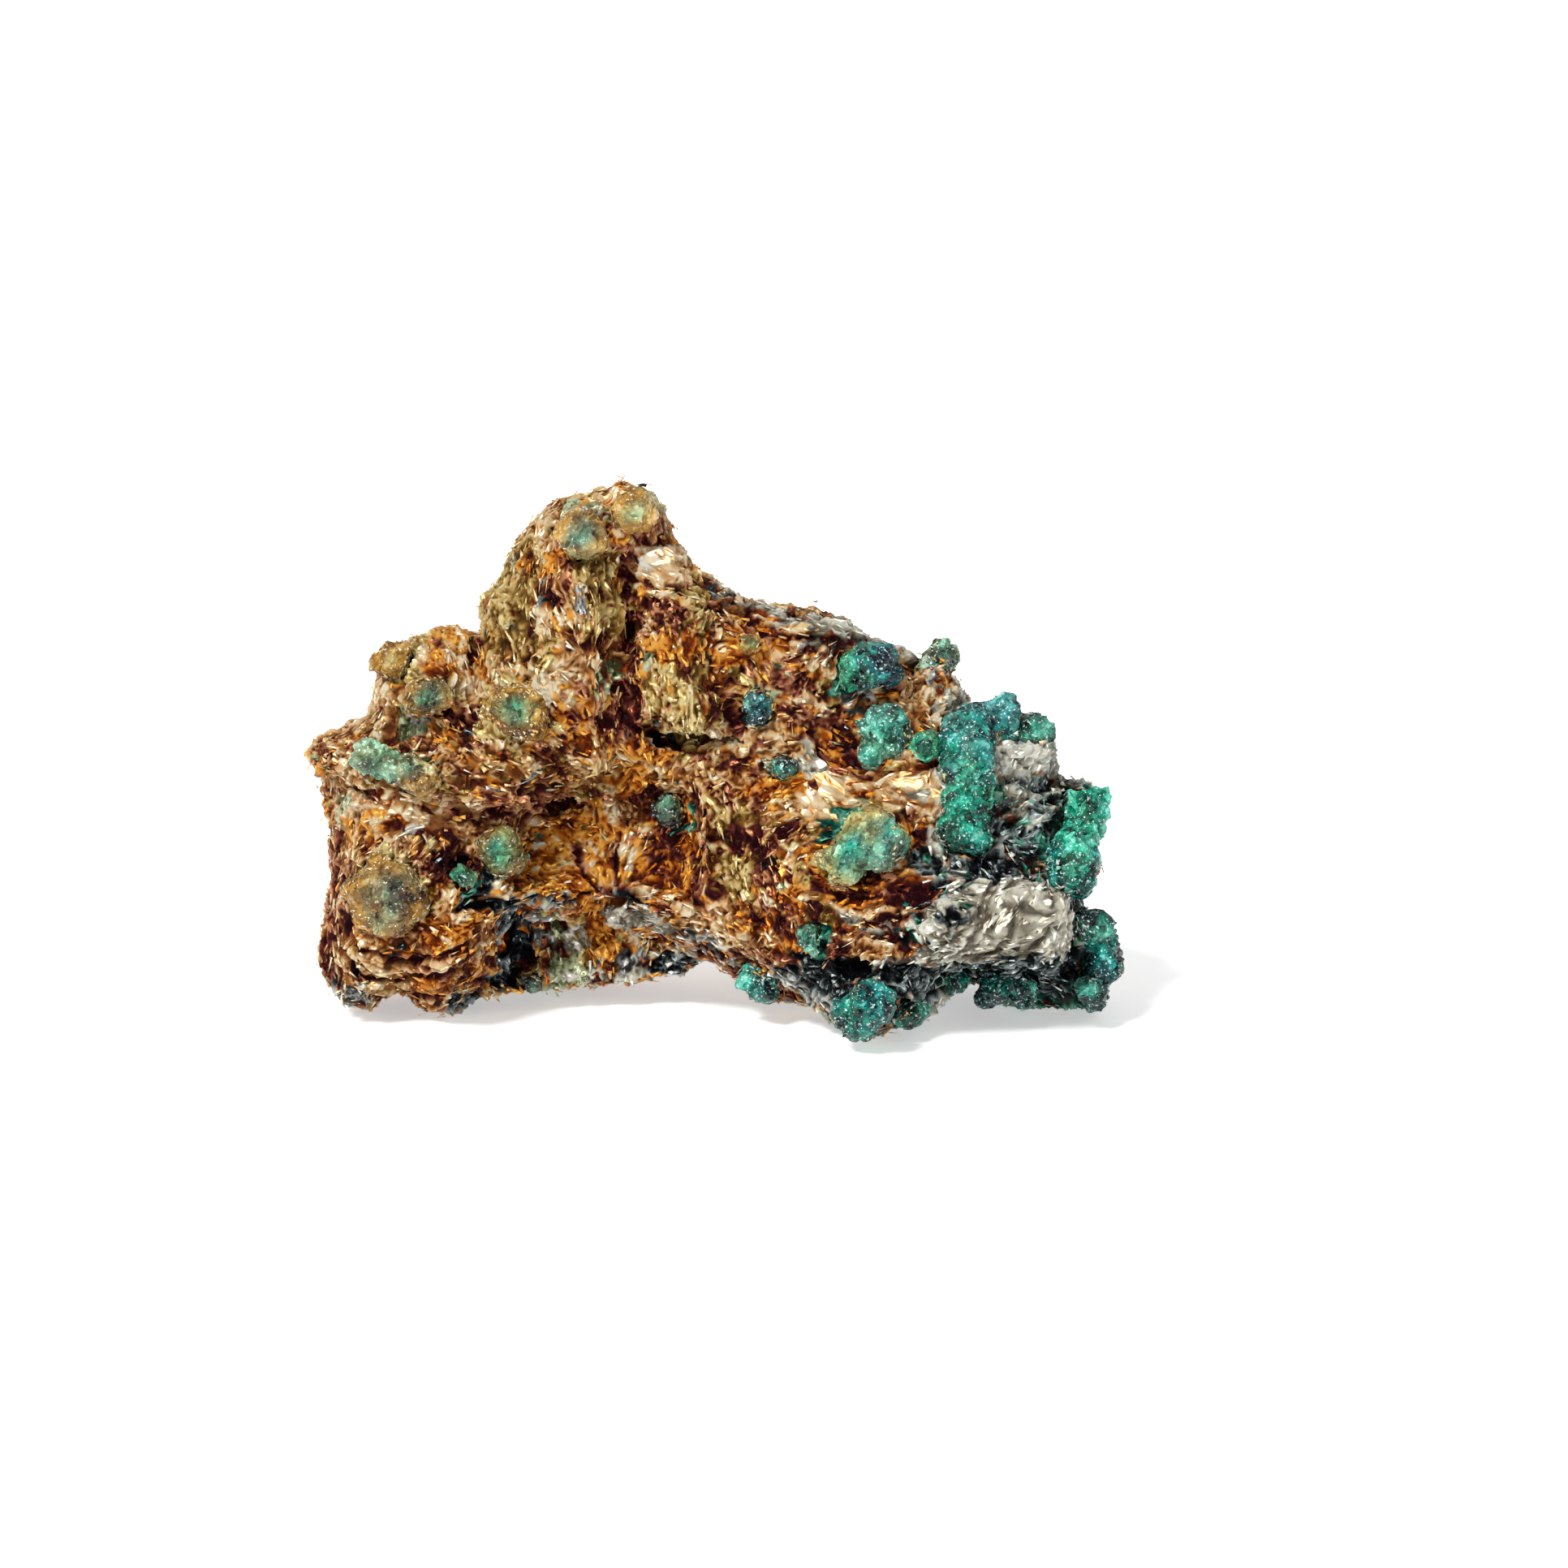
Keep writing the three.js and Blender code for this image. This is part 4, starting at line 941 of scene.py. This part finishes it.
clear_look = emerald_look("emerald", 0.3, 0.45, 0.85)
cloudy_look = emerald_look("emerald_cloudy", 0.06, 0.3, 0.28)
crystal_places, crystal_normals, crystal_cover = [], [], []
chance = np.random.default_rng(7)
for name in [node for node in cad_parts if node.startswith("emerald")]:
    crystal = remeshed(name, CRYSTAL_GRAIN)
    normals = unit(smoothed(crystal, normals_of(crystal), 3))
    places = smoothed(crystal, places_of(crystal), CRYSTAL_WEAR)
    height, facet_light = broken_faces(places)
    bulge = BULGE * clouds(places, 3, 201) + FINE_BULGE * clouds(places, 1.4, 202)
    if name in STRAIGHT:
        bulge *= STRAIGHT_BULGE
    swell = CRYSTAL_SWELL + np.clip(bulge, *BULGE_LIMITS) + height
    if name in SUNKEN:
        swell -= SUNKEN_BY
    move_to(crystal, places + normals * swell[:, None])
    places = places_of(crystal)
    kind = np.array(CRYSTAL_KINDS.get(name, CRYSTAL_PLAIN))
    cloudy = kind[1] >= STAINED_FROM
    shade = facet_light + CRYSTAL_SHADE * clouds(places, 2, 206)
    shade += CRYSTAL_FINE_SHADE * clouds(places, 0.7, 207)
    if cloudy:
        shade *= CLOUDY_CALM
    off_middle = give_beryl_tones(crystal.data, places, kind, name, shade)
    crystal.data.materials.append(cloudy_look if cloudy else clear_look)
    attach(crystal, "root")
    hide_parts(name)
    crystal_places.append(places)
    crystal_normals.append(unit(smoothed(crystal, normals_of(crystal), 6)))
    crystal_cover.append(cloudy * eased(off_middle, 0.55, 1))
crystal_places, crystal_normals = np.concatenate(crystal_places), np.concatenate(crystal_normals)
crystal_cover = np.concatenate(crystal_cover)

# --------------------------------------------------------------------------------------------
# The mica flakes. Splinters of mica that stand off the broken face, thin at one end, each
# still grown to the rock by the other. They lie along the run of the fibres in their patch.
# --------------------------------------------------------------------------------------------
FLAKES = 15000
CRUST_FLAKES = 1300  # on the stained crystals, thicker towards their edges
RIM_FLAKES = 11000  # tried where a crystal meets the rock, which laps over its rim
RIM_REACH = 1
FLAKE_ROOM = 1.2  # how far a flake may stand outside the model's box
# Each measure of a flake: logarithm of the usual one, its spread, the smallest, the largest.
FLAKE_LENGTH = (0, 0.4, 0.4, 1.8)
FLAKE_WIDTH = (-1.2, 0.45, 0.12, 0.7)
FLAKE_THICKNESS = (-2.5, 0.4, 0.04, 0.16)
CRUST_LENGTH = 0.6  # how long flakes on a crystal are, against those on the rock
LEAST_LIFT, LIFT_SPREAD = 1, 5  # degrees that a flake stands up
MOST_LIFT = math.radians(35)
ROOT_STRAY, RUN_STRAY = 0.2, 0.12  # how far a flake strays from its corner and from the fibres
ROOT_OUT = (-0.1, 0.16)  # how far out a flake's root lies: from here, by up to so much more
FLAKE_LIGHTER, FLAKE_LIGHT, TIP_PAINTED_LIGHT = 0.06, 0.2, 0.3  # than the rock, each other; the tip than the root, as painted light and shade
GRAIN_APART = 400  # over how much grain the flakes are spread, so that no two match
FOOT = 0.4  # none of the rock's flakes springs from below this height
NEAR_CRYSTAL, OFF_CRYSTAL = 0.4, 1  # how near a crystal some of the flakes may be, and the rest
NEAR_SHARE = 0.45
OWN_BLADE = 0.7  # share of the flakes that have the tone of the blade they spring from
BROKEN_ENDS = 0.25  # share of the flakes that show their thick broken end
# Where one area of flakes on the show face ends and the next begins.
LEFT_END, MIDDLE, RIGHT_START = -22, -2, 20
# Corners of a flake: (along, side, up) in its length, half width and half thickness.
FLAKE_CORNERS = [(0, -1, -1), (0, 1, -1), (0, 1, 1), (0, -1, 1), (1, -1, 0), (1, 1, 0)]
FLAKE_FACES = [
    (3, 2, 5), (3, 5, 4), (0, 5, 1), (0, 4, 5), (0, 1, 2), (0, 2, 3), (1, 5, 2), (0, 3, 4),
]
# Each face's place in the flake's own square of the flat map: top, underside, end and edges.
FLAKE_MAP = [
    (0.05, 0.05), (0.45, 0.05), (0.45, 0.95), (0.05, 0.05), (0.45, 0.95), (0.05, 0.95),
    (0.55, 0.05), (0.95, 0.6), (0.95, 0.05), (0.55, 0.05), (0.55, 0.6), (0.95, 0.6),
    (0.55, 0.68), (0.7, 0.68), (0.7, 0.92), (0.55, 0.68), (0.7, 0.92), (0.55, 0.92),
    (0.75, 0.68), (0.82, 0.92), (0.82, 0.68), (0.87, 0.68), (0.94, 0.68), (0.94, 0.92),
]


def solid_of(name, corners, faces, flat_map):
    """A mesh object from arrays of corners (mm), three-cornered faces and a flat map."""
    mesh = bpy.data.meshes.new(name)
    mesh.vertices.add(len(corners))
    mesh.loops.add(faces.size)
    mesh.polygons.add(len(faces))
    mesh.vertices.foreach_set("co", (corners * MM).ravel())
    mesh.loops.foreach_set("vertex_index", faces.ravel().astype(np.int32))
    mesh.polygons.foreach_set("loop_start", np.arange(0, faces.size, 3, dtype=np.int32))
    mesh.update(calc_edges=True)
    layer = mesh.uv_layers.new(name="OFBake")
    layer.data.foreach_set("uv", flat_map.astype(np.float32).ravel())
    return placed(name, mesh)


def measures(number, usual_log, spread, smallest, largest):
    """One measure of that many flakes: most are near the usual one, a few are much larger."""
    return np.clip(chance.lognormal(usual_log, spread, number), smallest, largest)


chance = np.random.default_rng(12)
crystal_tree = tree_of(crystal_places)
body_tree = tree_of(body_places)

at = chance.integers(0, len(body_places), FLAKES)
root, out = body_places[at], body_out[at]
root = root + ROOT_STRAY * chance.normal(size=root.shape)
to_crystal = np.array([crystal_tree.find(spot)[2] for spot in root])
room = np.where(chance.random(FLAKES) < NEAR_SHARE, NEAR_CRYSTAL, OFF_CRYSTAL)
clear_of_crystals = to_crystal > room
on_foot = body_places[at][:, 2] < FOOT
bare_slab = slabness(root, out) > chance.random(FLAKES) * 1.3
kept = clear_of_crystals & ~on_foot & ~bare_slab
at, root, out = at[kept], root[kept], out[kept]
crusted = chance.choice(len(crystal_places), CRUST_FLAKES, p=crystal_cover / crystal_cover.sum())
rims = chance.integers(0, len(crystal_places), RIM_FLAKES)
to_rock = np.array([body_tree.find(spot)[2] for spot in crystal_places[rims]])
crusted = np.concatenate([crusted, rims[to_rock < RIM_REACH]])
crust_at = np.array([body_tree.find(spot)[1] for spot in crystal_places[crusted]])
at = np.concatenate([at, crust_at])
root = np.concatenate([root, crystal_places[crusted]])
out = np.concatenate([out, crystal_normals[crusted]])
count = len(root)
own_tone = picked_tone(tone_shares(root, out), chance)
flake_tone = np.where(chance.random(count) < OWN_BLADE, blade_tone[blade[at]], own_tone)
run = blade_run[blade[at]] + RUN_STRAY * chance.normal(size=(count, 3))
run = along_surface(run, out)
run *= np.where(chance.random(count) < 0.5, -1, 1)[:, None]
slabby = slabness(root, out)
lift = LIFT_SPREAD * np.abs(chance.normal(size=count)) * (1 - 0.5 * slabby)
lift = np.minimum(np.radians(LEAST_LIFT + lift), MOST_LIFT)
length = measures(count, *FLAKE_LENGTH)
length[-len(crusted):] *= CRUST_LENGTH
width = measures(count, *FLAKE_WIDTH) * (1 + slabby)
thick = measures(count, *FLAKE_THICKNESS)
tip_width = width * chance.uniform(0.05, 0.6, count)
ahead = run * np.cos(lift)[:, None] + out * np.sin(lift)[:, None]
above = out * np.cos(lift)[:, None] - run * np.sin(lift)[:, None]
beside = np.cross(ahead, above)
root_out = chance.random(count) * ROOT_OUT[1] + ROOT_OUT[0]
start = root + out * root_out[:, None]
# Most flakes point outwards. Those with a broken end are turned round.
broken_end = chance.random(count) < BROKEN_ENDS
start = np.where(broken_end[:, None], start + ahead * length[:, None], start)
ahead = np.where(broken_end[:, None], -ahead, ahead)
beside = np.where(broken_end[:, None], -beside, beside)

corner = np.array(FLAKE_CORNERS, float)
sideways = np.where(corner[None, :, 0] > 0, tip_width[:, None], width[:, None])
sideways = sideways * corner[None, :, 1] / 2
corners = start[:, None, :] + ahead[:, None, :] * (corner[None, :, :1] * length[:, None, None])
corners = corners + beside[:, None, :] * sideways[..., None]
corners += above[:, None, :] * (corner[None, :, 2] * thick[:, None] / 2)[..., None]
low = np.array(cad_box[0]) / MM - FLAKE_ROOM
high = np.array(cad_box[1]) / MM + FLAKE_ROOM
low[2] = 0
corners = np.clip(corners, low, high)

outward = np.where(broken_end[:, None], 1 - corner[None, :, 0], corner[None, :, 0])
flake_light = body_light[at] + FLAKE_LIGHTER + FLAKE_LIGHT * chance.normal(size=count)
# Painted light and shade: each flake is lighter at its tip and darker at its root.
corner_light = np.clip(flake_light[:, None] + TIP_PAINTED_LIGHT * (outward - 0.5), 0, 1)
flake_grain = np.empty((count, 6, 3))
flake_grain[..., 0] = sideways * 3
flake_grain[..., 1] = corner[None, :, 0] * length[:, None] / 4
flake_grain[..., 2] = chance.random(count)[:, None] * GRAIN_APART + corner[None, :, 2]

mica = schist_look("mica", 0.28, 0.3)
facing_back = facing_show(out) < 0.5
areas = {
    "mica_left": ~facing_back & (root[:, 0] < LEFT_END),
    "mica_middle_left": ~facing_back & (root[:, 0] >= LEFT_END) & (root[:, 0] < MIDDLE),
    "mica_middle_right": ~facing_back & (root[:, 0] >= MIDDLE) & (root[:, 0] < RIGHT_START),
    "mica_right": ~facing_back & (root[:, 0] >= RIGHT_START),
    "mica_back_left": facing_back & (root[:, 0] < 0),
    "mica_back_right": facing_back & (root[:, 0] >= 0),
}
for name, inside in areas.items():
    number = int(inside.sum())
    faces = np.array(FLAKE_FACES)[None] + 6 * np.arange(number)[:, None, None]
    rows = math.ceil(math.sqrt(number))
    square = np.stack([np.arange(number) % rows, np.arange(number) // rows], axis=1)
    flat_map = (square[:, None, :] + np.array(FLAKE_MAP)[None]) / rows
    piece = solid_of(name, corners[inside].reshape(-1, 3), faces.reshape(-1, 3), flat_map)
    for k, tone in enumerate(TONES):
        if k:
            give(piece.data, tone, np.repeat(flake_tone[inside] == k, 6).astype(float))
    give(piece.data, "light", corner_light[inside].ravel())
    give(piece.data, "grain", flake_grain[inside].reshape(-1, 3))
    piece.data.materials.append(mica)
    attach(piece, "root")

# --------------------------------------------------------------------------------------------
# The floor, the light and the camera: a plain white floor under one large soft lamp, high at
# the left, and a long lens that looks square on to the show face.
# --------------------------------------------------------------------------------------------
FLOOR_REACH = 4.0  # metres from the middle to an edge
PAPER_WHITE, PAPER_ROUGHNESS, PAPER_GLOW = (0.9, 0.9, 0.9, 1), 0.9, 0.45
ROOM_LIGHT = 0.55
LAMP_STRENGTH = 3.4
LAMP_WIDTH = math.radians(14)  # as soft as a lamp in a large diffuser
LAMP_SHINES = (0.42, 0.62, -0.8)  # down from high at the left, in front
floor_mesh = bpy.data.meshes.new("floor")
floor_mesh.from_pydata(
    [(x * FLOOR_REACH, y * FLOOR_REACH, 0) for x, y in ((-1, -1), (1, -1), (1, 1), (-1, 1))],
    [],
    [(0, 1, 2, 3)],
)
floor = placed("floor", floor_mesh)
paper, _, _, paper_shader = new_look("floor")
paper_shader.inputs["Base Color"].default_value = PAPER_WHITE
paper_shader.inputs["Roughness"].default_value = PAPER_ROUGHNESS
paper_shader.inputs["Emission Color"].default_value = (1, 1, 1, 1)
paper_shader.inputs["Emission Strength"].default_value = PAPER_GLOW
floor_mesh.materials.append(paper)

world = bpy.data.worlds.new("studio")
world.use_nodes = True
world.node_tree.nodes["Background"].inputs["Color"].default_value = (1, 1, 1, 1)
world.node_tree.nodes["Background"].inputs["Strength"].default_value = ROOM_LIGHT
bpy.context.scene.world = world

lamp = bpy.data.lights.new("key", "SUN")
lamp.energy = LAMP_STRENGTH
lamp.angle = LAMP_WIDTH
key = placed("key", lamp)
key.rotation_euler = Vector(LAMP_SHINES).to_track_quat("-Z", "Y").to_euler()

FRAME_PIXELS = 1932
PIXEL = 0.1  # millimetres of the object in one pixel of the frame
CAMERA_AWAY = 700
AIM_ACROSS, AIM_UP = 8.9, 27.7  # the place on the show face in the middle of the frame
camera_data = bpy.data.cameras.new("camera")
camera = placed("camera", camera_data)
camera_data.sensor_width = 36
camera_data.lens = camera_data.sensor_width * CAMERA_AWAY / (FRAME_PIXELS * PIXEL)
aim_height = (AIM_UP + SHOW_SHIFT[1] * math.sin(SHOW_TILT)) / math.cos(SHOW_TILT)
aim = Vector((AIM_ACROSS + SHOW_SHIFT[0], 0, aim_height))
sight = Vector((0, math.cos(SHOW_TILT), -math.sin(SHOW_TILT)))
camera.location = (aim - sight * CAMERA_AWAY) * MM
camera.rotation_euler = sight.to_track_quat("-Z", "Y").to_euler()
camera_data.clip_start, camera_data.clip_end = 0.01, 100
bpy.context.scene.camera = camera
bpy.context.scene.view_settings.view_transform = "Standard"
